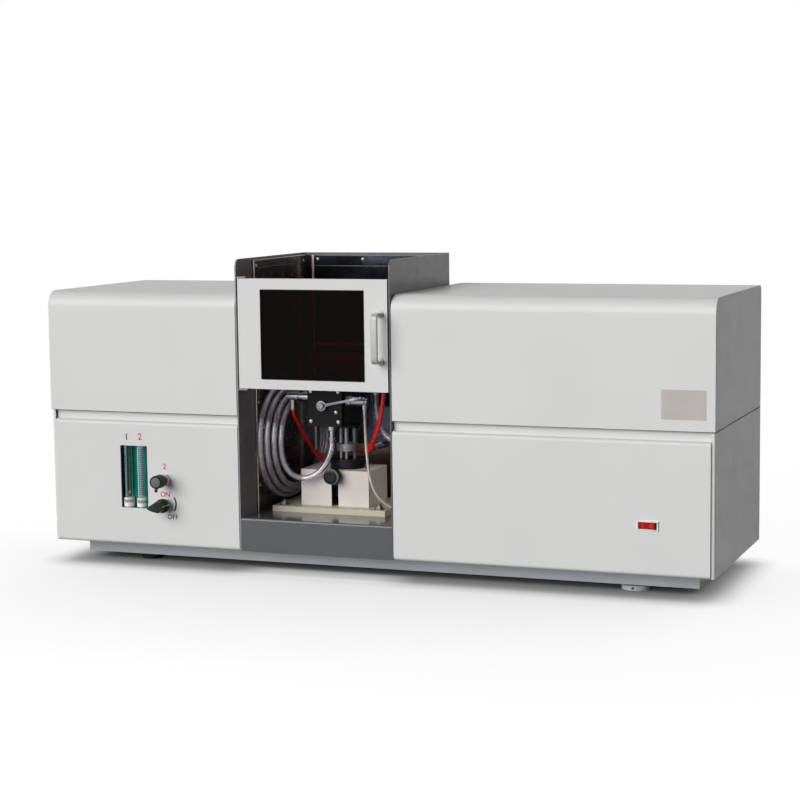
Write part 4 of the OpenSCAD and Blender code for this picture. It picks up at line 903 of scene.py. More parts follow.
@dataclass
class Studio:
    """Camera, lamps, world and floor. The floor's size and its shadow's reaches are in metres."""

    camera_at: Triple = (1057.2, -2598.8, 548.3)
    azimuth: float = 21.021
    elevation: float = 6.488
    roll: float = -0.695
    lens: float = 88.94
    sensor: float = 36.0
    sky: float = 0.058
    key_from: Triple = (-0.42, -0.85, 0.32)
    key_power: float = 2.95
    key_angle: float = 52.0
    rear_from: Triple = (-0.12, 0.98, 0.09)
    rear_power: float = 0.8
    rear_angle: float = 20.0
    floor_half: float = 60.0
    floor_bounce: float = 0.18
    floor_glow: float = 0.965
    floor_shade: float = 0.11
    contact: float = 0.05
    contact_depth: float = 1.15
    halo: float = 0.6
    halo_depth: float = 0.25
    halo_lean: Pair = (0.7, 0.7)

    def build(self, front: Datum) -> None:
        """Set up the whole stage.

        Args:
            front: The front's datum, which the camera is measured from.
        """
        self._camera(front)
        self._lamp("key_light", self.key_from, self.key_power, self.key_angle)
        rear = self._lamp("rear_light", self.rear_from, self.rear_power, self.rear_angle)
        rear.visible_glossy = False
        self._world()
        self._floor()
        bpy.context.scene.view_settings.view_transform = "Standard"

    def _camera(self, front: Datum) -> None:
        """Set the camera at the photograph's viewing angle.

        Args:
            front: The front's datum.
        """
        data = bpy.data.cameras.new("camera")
        data.lens = self.lens
        data.sensor_width = self.sensor
        data.sensor_fit = "HORIZONTAL"
        camera = bpy.data.objects.new("camera", data)
        bpy.context.scene.collection.objects.link(camera)
        az, el, roll = (math.radians(a) for a in (self.azimuth, self.elevation, self.roll))
        ahead = Vector((-math.sin(az) * math.cos(el), math.cos(az) * math.cos(el), -math.sin(el)))
        right = Vector((math.cos(az), math.sin(az), 0.0))
        up = right.cross(ahead)
        across = right * math.cos(roll) + up * math.sin(roll)
        upright = up * math.cos(roll) - right * math.sin(roll)
        turn = Matrix((across, upright, -ahead)).transposed().to_4x4()
        camera.matrix_world = Matrix.Translation(front.at(*self.camera_at)) @ turn
        bpy.context.scene.camera = camera

    def _lamp(self, name: str, start: Triple, power: float, angle: float) -> bpy.types.Object:
        """Add a wide soft lamp.

        Args:
            name: Name of the lamp.
            start: Direction that its light comes from.
            power: Its strength.
            angle: How wide it is, in degrees.

        Returns:
            The lamp.
        """
        data = bpy.data.lights.new(name, "SUN")
        data.energy = power
        data.angle = math.radians(angle)
        lamp = bpy.data.objects.new(name, data)
        lamp.rotation_euler = Vector(start).to_track_quat("Z", "Y").to_euler()
        bpy.context.scene.collection.objects.link(lamp)
        return lamp

    def _world(self) -> None:
        """Give even weak light from all round, white where it is seen."""
        world = bpy.data.worlds.new("studio")
        bpy.context.scene.world = world
        world.use_nodes = True
        graph = Graph(world.node_tree)
        strength = graph.remap(graph.seen(), UNIT, (self.sky, 1.0))
        back = graph.add("Background", Color=WHITE, Strength=strength)
        graph.add("OutputWorld", Surface=back.outputs[0])

    def _floor(self) -> None:
        """Lay the white floor that keeps the object's shadow."""
        blank = Blank()
        half = self.floor_half
        corners = [Vector((x * half, y * half, 0.0)) for x, y in ((-1, -1), (1, -1), (1, 1), (-1, 1))]
        blank.mesh.faces.new([blank.mesh.verts.new(p) for p in corners])
        floor = blank.object("floor")
        floor.data.materials.append(self._floor_white())

    def _floor_white(self) -> bpy.types.Material:
        """Build the floor's material: white where it is seen, dim where it lights the object.

        Returns:
            The material.
        """
        made = bpy.data.materials.new("floor_white")
        made.use_nodes = True
        graph = Graph(made.node_tree)
        seen = graph.seen()
        bounce, shade = self.floor_bounce, self.floor_shade
        plain = graph.add("BsdfDiffuse", Color=(bounce, bounce, bounce, 1.0))
        near = graph.add("AmbientOcclusion", Color=WHITE, Distance=self.contact)
        lean = graph.add("CombineXYZ", X=0.0, Y=self.halo_lean[0], Z=self.halo_lean[1])
        wide = graph.add("AmbientOcclusion", Color=WHITE, Distance=self.halo, Normal=lean.outputs[0])
        dim = graph.math("POWER", near.outputs["AO"], self.contact_depth)
        dim = graph.math("MULTIPLY", dim, graph.math("POWER", wide.outputs["AO"], self.halo_depth))
        glow = graph.add("Emission", Color=WHITE, Strength=graph.math("MULTIPLY", dim, self.floor_glow))
        lit = graph.add("BsdfDiffuse", Color=(shade, shade, shade, 1.0))
        shown = graph.add("AddShader")
        graph.feed(shown.inputs[0], glow.outputs[0])
        graph.feed(shown.inputs[1], lit.outputs[0])
        both = graph.add("MixShader", Fac=seen)
        graph.feed(both.inputs[1], plain.outputs[0])
        graph.feed(both.inputs[2], shown.outputs[0])
        graph.add("OutputMaterial", Surface=both.outputs[0])
        return made


@dataclass
class Solids:
    """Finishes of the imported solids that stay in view."""

    # The bay's left wall takes a lighter copy of the grey paint: painted light.
    own: dict[str, str] = field(
        default_factory=lambda: {
            "side_liners": "side_steel", "bay_floor": "floor_grey", "bay_left_wall": "lit_grey_paint",
            "door_hardware": "dark_bronze", "plate_bolts": "dull_steel", "chamber_plate": "plate_black",
            "burner_column": "column_alloy", "lift_box": "warm_white", "levelling_foot_front": "pale_zinc",
            "levelling_foot_rear": "pale_zinc", "flowmeter_block": "flow_green",
        }
    )

    def dress(self, bench: Bench) -> None:
        """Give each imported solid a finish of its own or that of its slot.

        Args:
            bench: Shared frame, palette and datum points.
        """
        for part in bench.frame["record"]["subparts"]:
            node = part["node"]
            bench.palette.dress(bench.frame["nodes"][node], self.own.get(node, part["material_slot"]))


class FarEnd(Enum):
    """What a hose's far end is."""

    OBJECT = "object"
    BARE = "bare"


class Lay(Enum):
    """How a hose lies."""

    LOOSE = "loose"
    HANGING = "hanging"
    COILED = "coiled"


@dataclass
class HoseLine:
    """One hose: its route in the bay, its two radii and the two points of its stretch from the burner."""

    name: str
    node: str
    finish: str
    slot: str
    outer: float
    bore: float
    route: list[Triple]
    far_end: FarEnd
    lay: Lay
    bend_start: Triple | None = None
    bend_end: Triple | None = None
    steps: int = 6


@dataclass
class Hoses:
    """The hoses in the flame bay, with the sleeves on their ends."""

    coil_x: float = -81.0
    coil_y: float = 126.0
    coil_z: float = 100.5
    coil_r: float = 62.0
    coil_pitch: float = 8.0
    coil_grow: float = 7.6
    coil_lean: float = 25.0
    coil_turn: int = 1170
    coil_step: int = 15
    coil_exit: Pair = (3.0, 24.0)
    hose_back: float = 231.6
    drain_out: Pair = (-95.75, 187.2)
    drain_straight: Triple = (29.0, 9.0, 0.0)
    stiffness: str = "medium"
    sleeve: tuple[Pair, ...] = (
        (0.1, -6.5), (0.9, -6.5), (1.2, -6.0), (1.2, -4.6), (0.8, -4.2), (0.8, -2.4),
        (1.2, -2.0), (1.2, 1.6), (0.8, 2.2), (-0.4, 2.2), (-0.4, 0.6), (0.1, 0.4),
    )
    sleeve_sides: int = 28

    def _coil(self, turn: float) -> Triple:
        """Find a point of the drain coil.

        Args:
            turn: Angle along the coil, in degrees.

        Returns:
            The point.
        """
        a = math.radians(turn)
        r = self.coil_r + self.coil_grow * turn / 360
        lean = self.coil_lean * ((1 - math.cos(a)) / 2) ** 2
        x = self.coil_x - self.coil_pitch * turn / 360 + lean
        return (x, self.coil_y - r * math.cos(a), self.coil_z + r * math.sin(a))

    def _drain_route(self) -> list[Triple]:
        """Route the drain hose: lead, coil and the way out.

        Returns:
            Points of the route.
        """
        lead = [
            (-12, 96, 110.1), (-12, 96, 104.5), (-12, 94.7, 97.5), (-12.8, 90.7, 87.5), (-16, 85, 75.5),
            (-24.5, 80, 63), (-36.5, 76.5, 54), (-50.5, 74, 51), (-64.5, 71, 55.2), (-75, 68.5, 66.5),
            (-80, 66, 83),
        ]
        coil = [self._coil(a) for a in range(0, self.coil_turn + 1, self.coil_step)]
        last = coil[-1]
        x, z = self.drain_out
        leave = [(last[0] + self.coil_exit[0], last[1] + self.coil_exit[1], last[2])]
        leave += [(x, self.hose_back - back, z) for back in self.drain_straight]
        return lead + coil + leave

    def _lines(self) -> list[HoseLine]:
        """List all hoses of the bay.

        Returns:
            The hoses, in the order of their making.
        """
        back = self.hose_back
        fuel = [
            (-72, 90, 158.1), (-72, 90, 153), (-71.8, 92.3, 146), (-71, 99, 136.5), (-69.3, 113, 120),
            (-67, 134, 98), (-64, 152, 79), (-61, 162, 72), (-58.5, 170, 63.5), (-55, 179, 54),
            (-50, 190, 46.5), (-45, 204, 42.8), (-42, 218, 42), (-42, back, 42),
        ]
        pilot = [
            (100.6, 104, 218), (94, 104, 218), (85, 104, 215.5), (77, 104, 208.5), (71.5, 104, 198),
            (69, 104.3, 186), (67.5, 105, 172), (62.5, 107, 145), (55.5, 109.5, 122), (47.5, 113.5, 104.5),
            (39.5, 120.5, 93), (30, 131, 87), (20.5, 144, 84), (13.5, 161, 82), (9.5, 184, 80.5),
            (8, 210, 80), (8, back, 80),
        ]
        air = [
            (49, 122, 180.1), (49, 122, 172), (49.3, 121.5, 155), (52.5, 121, 136), (60, 121, 119),
            (72, 121.3, 108), (86, 122, 103.5), (94, 122, 103), (100.6, 122, 103),
        ]
        sample = [
            (43, 92, 149.6), (43, 92, 143), (43.6, 92, 122), (46, 89, 96), (51, 84, 67), (57, 81, 46),
            (65, 81, 29.5), (75, 84.5, 18), (85, 90, 10.5), (94, 95.5, 5.4), (102, 100, 2.9), (108, 103, 2.4),
        ]
        return [
            HoseLine(
                "drain_line", "drain_hose", "clear_hose", "clear_hose", 4.5, 3.1, self._drain_route(),
                FarEnd.OBJECT, Lay.COILED, (-13, 96, 104), (-58, 96, 104), 2,
            ),
            HoseLine(
                "fuel_line", "fuel_hoses", "red_hose", "red_hose", 3.5, 2.0, fuel,
                FarEnd.OBJECT, Lay.LOOSE, (-72, 90, 150), (-59, 167, 68),
            ),
            HoseLine(
                "pilot_line", "fuel_hoses", "red_hose", "red_hose", 3.5, 2.0, pilot,
                FarEnd.OBJECT, Lay.LOOSE,
            ),
            HoseLine(
                "air_line", "air_hose", "clear_hose", "clear_hose", 4.5, 3.1, air,
                FarEnd.OBJECT, Lay.LOOSE, (49, 122, 175), (66, 121, 108),
            ),
            HoseLine(
                "sample_line", "sample_tube", "pale_tube", "clear_hose", 2.0, 1.1, sample,
                FarEnd.BARE, Lay.HANGING, (43, 92, 145), (57, 81, 46),
            ),
        ]

    def build(self, bench: Bench) -> None:
        """Make every hose and the sleeves on its ends.

        Args:
            bench: Shared frame, palette and datum points.
        """
        for line in self._lines():
            path = smooth_route([bench.bay.at(*p) for p in line.route], line.steps)
            piece = Blank().hose(path, line.outer, line.bore).object(line.name, HOSE_CREASE)
            bench.palette.dress(piece, line.finish)
            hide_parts(line.node)
            if line.bend_start and line.bend_end:
                start, end = bench.bay.at(*line.bend_start), bench.bay.at(*line.bend_end)
                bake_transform(piece)
            else:
                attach(piece, "housing")
            self._sleeves(bench, line, path)

    def _sleeves(self, bench: Bench, line: HoseLine, path: list[Vector]) -> list[bpy.types.Object]:
        """Make the ridged sleeves that hold a hose on its nipples.

        Args:
            bench: Shared frame, palette and datum points.
            line: The hose.
            path: Points of its middle, in metres.

        Returns:
            The sleeves.
        """
        ends = [(path[0], path[0] - path[1], "carriage" if line.bend_start else "housing")]
        if line.far_end is FarEnd.OBJECT:
            ends.append((path[-1], path[-1] - path[-2], "housing"))
        profile = [(line.outer + proud, along) for proud, along in self.sleeve]
        made = []
        for number, (point, out, body) in enumerate(ends, 1):
            sleeve = Blank().turned(point, out, profile, self.sleeve_sides, ring=True)
            made.append(bench.fit(sleeve, f"{line.name}_sleeve_{number}", "steel", body))
        return made


@dataclass(frozen=True)
class Word:
    """One printed word: its piece, what it says, the middle of its foot, its size and its ink."""

    name: str
    text: str
    place: Pair
    size: float
    finish: str
    slot: str


@dataclass
class Marks:
    """Printed marks and the bare card on the front."""

    ink: float = 0.06
    weight: float = 0.16
    words: tuple[Word, ...] = (
        Word("first_tube_mark", "1", (-382.0, 158.6), 14.0, "black_ink", "black_plastic"),
        Word("second_tube_mark", "2", (-359.5, 159.4), 14.0, "red_ink", "red_plastic"),
        Word("fuel_mark", "2", (-319.0, 116.8), 12.0, "red_ink", "red_plastic"),
        Word("open_mark", "ON", (-319.0, 75.1), 10.4, "red_ink", "red_plastic"),
        Word("shut_mark", "OFF", (-307.2, 41.6), 10.4, "black_ink", "black_plastic"),
    )
    swing_centre: Pair = (-320.0, 64.6)
    swing_radius: float = 18.6
    swing_half: float = 33.0
    swing_weight: float = 1.2
    card_low: Pair = (435.9, 216.6)
    card_high: Pair = (497.7, 257.2)
    card_depth: Pair = (-0.35, 0.05)
    card_edge: float = 0.15

    def build(self, bench: Bench) -> None:
        """Print the marks and fix the card.

        Args:
            bench: Shared frame, palette and datum points.
        """
        for word in self.words:
            self._word(bench, word)
        self._swing(bench)
        self._card(bench)

    def _word(self, bench: Bench, word: Word) -> None:
        """Print one word on the front panel.

        Args:
            bench: Shared frame, palette and datum points.
            word: The word.
        """
        curve = bpy.data.curves.new(word.name, "FONT")
        curve.body = word.text
        curve.size = word.size * MM
        curve.align_x = "CENTER"
        curve.extrude = self.ink * MM / 2
        curve.offset = self.weight * MM
        typed = bpy.data.objects.new(word.name + "_type", curve)
        bpy.context.scene.collection.objects.link(typed)
        bpy.context.view_layer.update()
        data = bpy.data.meshes.new_from_object(typed.evaluated_get(bpy.context.evaluated_depsgraph_get()))
        bpy.data.objects.remove(typed)
        data.transform(Matrix.Rotation(math.pi / 2, 4, "X"))
        data.transform(Matrix.Translation(bench.front.at(word.place[0], -self.ink / 2, word.place[1])))
        made = bpy.data.objects.new(word.name, data)
        bpy.context.scene.collection.objects.link(made)
        bench.palette.dress(made, word.finish)
        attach(made, "housing")
        LOG.info("piece %s on housing", word.name)

    def _swing(self, bench: Bench) -> None:
        """Print the arc that joins the two lever marks.

        Args:
            bench: Shared frame, palette and datum points.
        """
        half = self.ink / 2
        arc = arc_points(self.swing_centre, self.swing_radius, -self.swing_half, self.swing_half, steps=14)
        path = [bench.front.at(x, -half, z) for x, z in arc]
        blank = Blank().swept(path, flat_section(self.swing_weight, half), RIGHTWARD)
        bench.fit(blank, "lever_swing_mark", "black_ink", "housing")

    def _card(self, bench: Bench) -> None:
        """Fix the bare card to the optics cover.

        Args:
            bench: Shared frame, palette and datum points.
        """
        low = bench.front.at(self.card_low[0], self.card_depth[0], self.card_low[1])
        high = bench.front.at(self.card_high[0], self.card_depth[1], self.card_high[1])
        card = Blank().box(low, high, self.card_edge, steps=1)
        bench.fit(card, "bare_card", "bare_card", "housing")


@dataclass(frozen=True)
class FlowScale:
    """What is printed round a flow tube: the angles of its strip, its glint, which is a painted highlight,
    its ticks and its dark line, which is a painted reflection.
    """

    finish: str
    strip: Pair
    glint: Pair
    ticks: Pair
    # Angles of the dark line: a painted reflection.
    line: Pair | None = None


@dataclass
class GasPanel:
    """Trim of the flowmeters, the fuel knob and the shut-off lever."""

    window: Pair = (-393.0, -348.0)
    window_depth: Pair = (2.2, 26.8)
    # Thickness of the black plate in the flow window: painted shade.
    painted_shade_plate: float = 0.6
    side_ease: float = 0.2
    backing_off: Pair = (0.7, 0.8)
    backing_ease: float = 0.3
    tubes: Pair = (-385.0, -363.0)
    tube_y: float = 9.5
    tube_r: float = 6.0
    tube_low: float = 55.5
    tube_high: float = 150.0
    strip_ends: Pair = (16.0, 0.5)
    strip_proud: float = 0.05
    tick_first: float = 76.5
    tick_step: float = 2.8
    tick_half: float = 0.45
    tick_proud: float = 0.12
    ticks: int = 25
    long_every: int = 5
    long_more: float = 12.0
    print_half: float = 0.03
    painted_reflection_low: float = 80.0
    scales: tuple[FlowScale, FlowScale] = (
        # The first tube's strip takes a darker copy of the opal ink: painted shade.
        FlowScale("shaded_opal_ink", (220, 270), (346, 370), (234, 272), (270, 300)),
        FlowScale("opal_ink", (262, 330), (222, 246), (268, 322)),
    )
    nut_foot: float = 0.7
    nut: tuple[Pair, ...] = (
        (7.35, 0.0), (7.9, 0.4), (8.1, 1.2), (8.1, 5.4), (7.9, 5.9), (8.1, 6.4), (8.1, 11.0), (7.9, 11.4),
        (8.1, 11.8), (8.1, 13.0), (7.9, 13.6), (7.35, 14.0),
    )
    nut_grip: Pair = (6.2, 11.2)
    # Black band that shows between the nut's ridges: painted shade in its grooves.
    nut_painted_shade: tuple[Pair, ...] = ((7.3, 6.5), (7.8, 6.5), (7.8, 10.9), (7.3, 10.9))
    valve_x: float = -318.5
    collar: tuple[Pair, ...] = ((7.4, 4.0), (8.6, 4.0), (8.6, 4.4), (7.9, 5.0), (7.4, 5.0))
    knob_z: float = 101.0
    knob_front: float = -31.5
    knob_rear: float = -9.0
    knob_cap: tuple[Pair, ...] = (
        (0.1, 0.25), (6.6, 0.2), (7.1, 0.0), (7.4, -0.4), (7.4, -1.1), (0.1, -1.1),
    )
    pointer_turn: float = 8.0
    pointer_half: float = 1.3
    pointer_reach: Pair = (-15.4, -9.0)
    pointer_depth: Pair = (2.0, 8.6)
    lever_z: float = 63.0
    lever_rest: float = 10.0
    lever_depth: Triple = (-29.0, -15.0, -8.0)
    lever_r: float = 8.5
    lever_round: float = 105.0
    lever_flank: tuple[Pair, ...] = ((-5.4, 6.4), (-8.4, 4.2), (-11.4, 2.8), (-14.2, 2.1))
    lever_tip: Pair = (-15.2, 1.8)
    lever_edge: float = 1.1
    lever_lap: float = 0.2
    line_half: float = 0.8

    def build(self, bench: Bench) -> None:
        """Make all trim of the gas panel.

        Args:
            bench: Shared frame, palette and datum points.
        """
        self._painted_shade_plate(bench)
        self._backing(bench)
        for number, x in enumerate(self.tubes, 1):
            self._scale(bench, number, x)
            self._nut(bench, number, x)
        self._knob(bench)
        self._lever(bench)

    def _painted_shade_plate(self, bench: Bench) -> None:
        """Line the window's left wall with a black plate: painted shade, where the wall lies in shade.

        Args:
            bench: Shared frame, palette and datum points.
        """
        near, far = self.window_depth
        left, ease = self.window[0], self.side_ease
        low = bench.front.at(left - ease, near, self.tube_low + ease)
        high = bench.front.at(left + self.painted_shade_plate, far, self.tube_high - ease)
        bench.fit(Blank().box(low, high, ease, steps=1), "window_painted_shade_plate", "black_plastic", "housing")

    def _backing(self, bench: Bench) -> None:
        """Fill the window behind the tubes with the green backing block.

        Args:
            bench: Shared frame, palette and datum points.
        """
        left, right = self.window
        ease = self.backing_ease
        near = self.tube_y + self.tube_r + self.backing_off[1]
        low = bench.front.at(left + self.backing_off[0], near, self.tube_low + ease)
        high = bench.front.at(right - ease, self.window_depth[1], self.tube_high - ease)
        block = Blank().box(low, high, radius=0.5)
        bench.fit(block, "flow_backing", "flow_green", "housing")

    def _band(self, bench: Bench, blank: Blank, x: float, turn: Pair, rise: Pair, proud: float) -> None:
        """Add a thin printed band to a flow tube.

        Args:
            bench: Shared frame, palette and datum points.
            blank: The mesh to add to.
            x: Middle of the tube.
            turn: First and last angle round the tube, in degrees.
            rise: Lowest and highest place of the band.
            proud: How far the band's middle stands off the tube.
        """
        half = (rise[1] - rise[0]) / 2
        z = rise[0] + half
        arc = arc_points((x, self.tube_y), self.tube_r + proud, turn[0], turn[1], steps=8)
        path = [bench.front.at(px, py, z) for px, py in arc]
        blank.swept(path, flat_section(self.print_half, half), FRONTWARD)

    def _scale(self, bench: Bench, number: int, x: float) -> None:
        """Print a flow tube's pale strip, its glint (a painted highlight), its ticks and its dark line (a
        painted reflection).

        Args:
            bench: Shared frame, palette and datum points.
            number: Which tube, from 1.
            x: Middle of the tube.
        """
        look = self.scales[number - 1]
        rise = (self.tube_low + self.strip_ends[0], self.tube_high - self.strip_ends[1])
        # The glint is a painted highlight along the tube.
        for name, finish, turn in (("strip", look.finish, look.strip), ("glint", "painted_glint", look.glint)):
            blank = Blank()
            self._band(bench, blank, x, turn, rise, self.strip_proud)
            bench.fit(blank, f"flow_{name}_{number}", finish, "housing")
        ticks = Blank()
        short, end = look.ticks
        for k in range(self.ticks):
            z = self.tick_first + self.tick_step * k
            start = short if k % self.long_every else short - self.long_more
            span = (z - self.tick_half, z + self.tick_half)
            self._band(bench, ticks, x, (start, end), span, self.tick_proud)
        # The dark line is a painted reflection of the window's dark side, laid with the ticks.
        if look.line:
            self._band(bench, ticks, x, look.line, (self.painted_reflection_low, rise[1]), self.tick_proud)
        bench.fit(ticks, f"flow_scale_{number}", "black_ink", "housing")

    def _nut(self, bench: Bench, number: int, x: float) -> None:
        """Make the ridged nut at a tube's foot, with a black band that shows between its ridges: painted
        shade in the grooves.

        Args:
            bench: Shared frame, palette and datum points.
            number: Which tube, from 1.
            x: Middle of the tube.
        """
        foot = bench.front.at(x, self.tube_y, self.tube_low + self.nut_foot)
        nut = Blank().turned(foot, UPWARD, self.nut, sides=112, flutes=28, depth=0.7, span=self.nut_grip)
        bench.fit(nut, f"flow_nut_{number}", "white_plastic", "housing")
        # The black band shows only in the grooves: painted shade.
        band = Blank().turned(foot, UPWARD, self.nut_painted_shade, sides=56)
        bench.fit(band, f"flow_nut_band_{number}", "black_ink", "housing")

    def _knob(self, bench: Bench) -> None:
        """Make the knurled fuel knob with its cap, its red pointer and its collar.

        Args:
            bench: Shared frame, palette and datum points.
        """
        x, z, front = self.valve_x, self.knob_z, self.knob_front
        axis = bench.front.at(x, 0.0, z)
        length = self.knob_rear - front
        grip = [
            (6.6, 0.0), (7.6, 0.0), (8.0, 0.4), (8.0, 5.4), (8.8, 5.8), (9.7, 6.2), (10.0, 6.8),
            (10.0, length - 1.6), (9.6, length - 0.6), (9.0, length), (7.7, length), (7.5, length - 0.2),
            (7.5, length - 1.0), (0.1, length - 1.0),
        ]
        foot = bench.front.at(x, self.knob_rear, z)
        ridges = (6.5, length - 1.2)
        knob = Blank().turned(foot, FRONTWARD, grip, sides=144, flutes=36, depth=0.5, span=ridges)
        bench.fit(knob, "fuel_knob_grip", "black_plastic", "fuel_valve", replaces=("fuel_knob",))
        cap = Blank().turned(bench.front.at(x, front, z), FRONTWARD, self.knob_cap, sides=56)
        bench.fit(cap, "fuel_knob_cap", "grey_cap", "fuel_valve")
        half, (low, high), (near, far) = self.pointer_half, self.pointer_reach, self.pointer_depth
        corners = Vector((-half, front + near, low)) * MM, Vector((half, front + far, high)) * MM
        turn = Matrix.Rotation(math.radians(self.pointer_turn), 4, "Y")
        blade = Blank().box(*corners, radius=0.6, steps=3).moved(Matrix.Translation(axis) @ turn)
        bench.fit(blade, "fuel_pointer", "red_plastic", "fuel_valve", replaces=("fuel_knob",))
        self._collar(bench, "fuel_collar", axis)

    def _lever(self, bench: Bench) -> None:
        """Make the shut-off lever, the pale line on its side and its collar.

        Args:
            bench: Shared frame, palette and datum points.
        """
        axis = bench.front.at(self.valve_x, 0.0, self.lever_z)
        turn = Matrix.Translation(axis) @ Matrix.Rotation(math.radians(-self.lever_rest), 4, "Y")
        front, middle, back = self.lever_depth
        outline = arc_points((0, 0), self.lever_r, -self.lever_round, self.lever_round, steps=24)
        outline += self.lever_flank
        outline += arc_points((self.lever_tip[0], 0), self.lever_tip[1], 90, 270, steps=8)
        outline += [(u, -v) for u, v in reversed(self.lever_flank)]
        corners = [Vector((u, front, v)) * MM for u, v in outline]
        grip = Blank().plate(corners, Vector((0, middle - front + self.lever_lap, 0)) * MM)
        rim = [e for e in grip.mesh.edges if max(abs(v.co.y - front * MM) for v in e.verts) < TOUCH]
        grip.eased(rim, self.lever_edge, steps=3)
        disc = [
            (6.0, -back), (9.9, -back), (10.5, 0.6 - back), (10.5, -0.6 - middle), (9.9, -middle),
            (0.1, -middle),
        ]
        grip.turned(Vector((0, 0, 0)), FRONTWARD, disc, sides=56)
        bench.fit(grip.moved(turn), "lever_grip", "black_plastic", "shut_off", replaces=("gas_lever",))
        line = Blank()
        for inner, start, outer, end in (
            (8.2, front + 1.0, 8.65, middle), (8.2, middle - 0.12, 10.2, middle + 0.1),
            (10.2, middle, 10.62, back - 0.6),
        ):
            low = Vector((inner, start, -self.line_half)) * MM
            line.box(low, Vector((outer, end, self.line_half)) * MM, radius=0.08, steps=1)
        bench.fit(line.moved(turn), "lever_line", "pale_ink", "shut_off")
        self._collar(bench, "lever_collar", axis)

    def _collar(self, bench: Bench, name: str, axis: Vector) -> None:
        """Make the steel collar round a valve's stem.

        Args:
            bench: Shared frame, palette and datum points.
            name: Name of the piece.
            axis: Where the stem leaves the panel, in metres.
        """
        ring = Blank().turned(axis, FRONTWARD, self.collar, sides=48)
        bench.fit(ring, name, "steel", "housing")


@dataclass
class PowerSwitch:
    """Marks on the rocker of the power switch."""

    centre: Triple = (417.6, 3.0, 69.9)
    tilt: float = 8.0
    half: float = 12.0
    crown: float = -4.6
    rim: float = -6.0
    bar_half: Pair = (0.5, 2.4)
    bar_depth: Pair = (-0.08, 0.04)
    ring_r: float = 2.1
    ring_half: Pair = (0.4, 0.06)

    def build(self, bench: Bench) -> None:
        """Print the bar and the ring on the two halves of the rocker.

        Args:
            bench: Shared frame, palette and datum points.
        """
        (wide, tall), (near, far) = self.bar_half, self.bar_depth
        low, high = Vector((-wide, near, -tall)) * MM, Vector((wide, far, tall)) * MM
        bar = Blank().box(low, high, radius=0.02, steps=1).moved(self._spot(bench, -1))
        bench.fit(bar, "rocker_bar_mark", "faint_ink", "rocker")
        circle = arc_points((0, 0), self.ring_r, 0, 360, steps=32)[:-1]
        path = [Vector((x, 0.0, z)) * MM for x, z in circle]
        ring = Blank().swept(path, flat_section(*self.ring_half), RIGHTWARD, closed=True)
        ring.moved(self._spot(bench, 1))
        bench.fit(ring, "rocker_ring_mark", "faint_ink", "rocker")

    def _spot(self, bench: Bench, side: int) -> Matrix:
        """Find the middle of one half of the rocker's face.

        Args:
            bench: Shared frame, palette and datum points.
            side: -1 for the left half and 1 for the right one.

        Returns:
            The place and turn of a mark there.
        """
        place = Matrix.Translation(bench.front.at(*self.centre))
        place = place @ Matrix.Rotation(math.radians(-self.tilt), 4, "Z")
        lean = math.atan2(self.rim - self.crown, self.half)
        middle = Vector((side * self.half / 2, (self.rim + self.crown) / 2, 0.0)) * MM
        return place @ Matrix.Translation(middle) @ Matrix.Rotation(side * lean, 4, "Z")


@dataclass
class Door:
    """Bow handle and glazing bead of the smoked door."""

    handle_x: float = 105.8
    handle_z: float = 269.68
    handle_half: float = 36.0
    reach: float = 26.0
    strip_w: float = 10.0
    strip_t: float = 4.0
    strip_round: float = 1.5
    bend: float = 8.0
    pad: tuple[Pair, ...] = ((5.4, 0.0), (5.6, 0.5), (5.2, 1.3), (3.6, 1.6))
    window_half: float = 81.25
    window_low: float = 206.0
    window_high: float = 337.0
    bead_inset: float = 0.4
    bead_corner: float = 0.9
    bead_y: float = 0.1
    bead: tuple[Pair, ...] = (
        (-0.6, 0.0), (-0.4, 0.35), (0.0, 0.5), (0.4, 0.35), (0.6, 0.0), (0.4, -0.8), (-0.4, -0.8),
    )

    def build(self, bench: Bench) -> None:
        """Make the handle and the bead."""
        self._handle(bench)
        self._bead(bench)

    def _handle(self, bench: Bench) -> None:
        """Bend the bow handle from a rounded strip, with a foot pad at each end.

        Args:
            bench: Shared frame, palette and datum points.
        """
        thick = self.strip_t / 2
        low = self.handle_z - self.handle_half + thick
        high = self.handle_z + self.handle_half - thick
        out = -self.reach + thick
        r = self.bend - thick
        side = [(0.0, low)]
        side += arc_points((out + r, low + r), r, 270, 180, steps=8)
        side += arc_points((out + r, high - r), r, 180, 90, steps=8)
        side += [(0.0, high)]
        path = [bench.bay.at(self.handle_x, y, z) for y, z in side]
        section = rounded_outline((0.0, 0.0), (self.strip_w / 2, thick), self.strip_round, steps=4)
        blank = Blank().swept(path, section, RIGHTWARD)
        for z in (low, high):
            blank.turned(bench.bay.at(self.handle_x, 0.0, z), FRONTWARD, self.pad, sides=36)
        bench.fit(blank, "bow_handle", "handle_alloy", "door", ("door_handle",))

    def _bead(self, bench: Bench) -> None:
        """Lay the black bead round the window.

        Args:
            bench: Shared frame, palette and datum points.
        """
        centre = (0.0, (self.window_low + self.window_high) / 2)
        rise = (self.window_high - self.window_low) / 2
        half = (self.window_half - self.bead_inset, rise - self.bead_inset)
        outline = rounded_outline(centre, half, self.bead_corner, steps=5)
        path = [bench.bay.at(x, self.bead_y, z) for x, z in outline]
        blank = Blank().swept(path, self.bead, DOWNWARD, closed=True)
        bench.fit(blank, "window_bead", "black_plastic", "door")


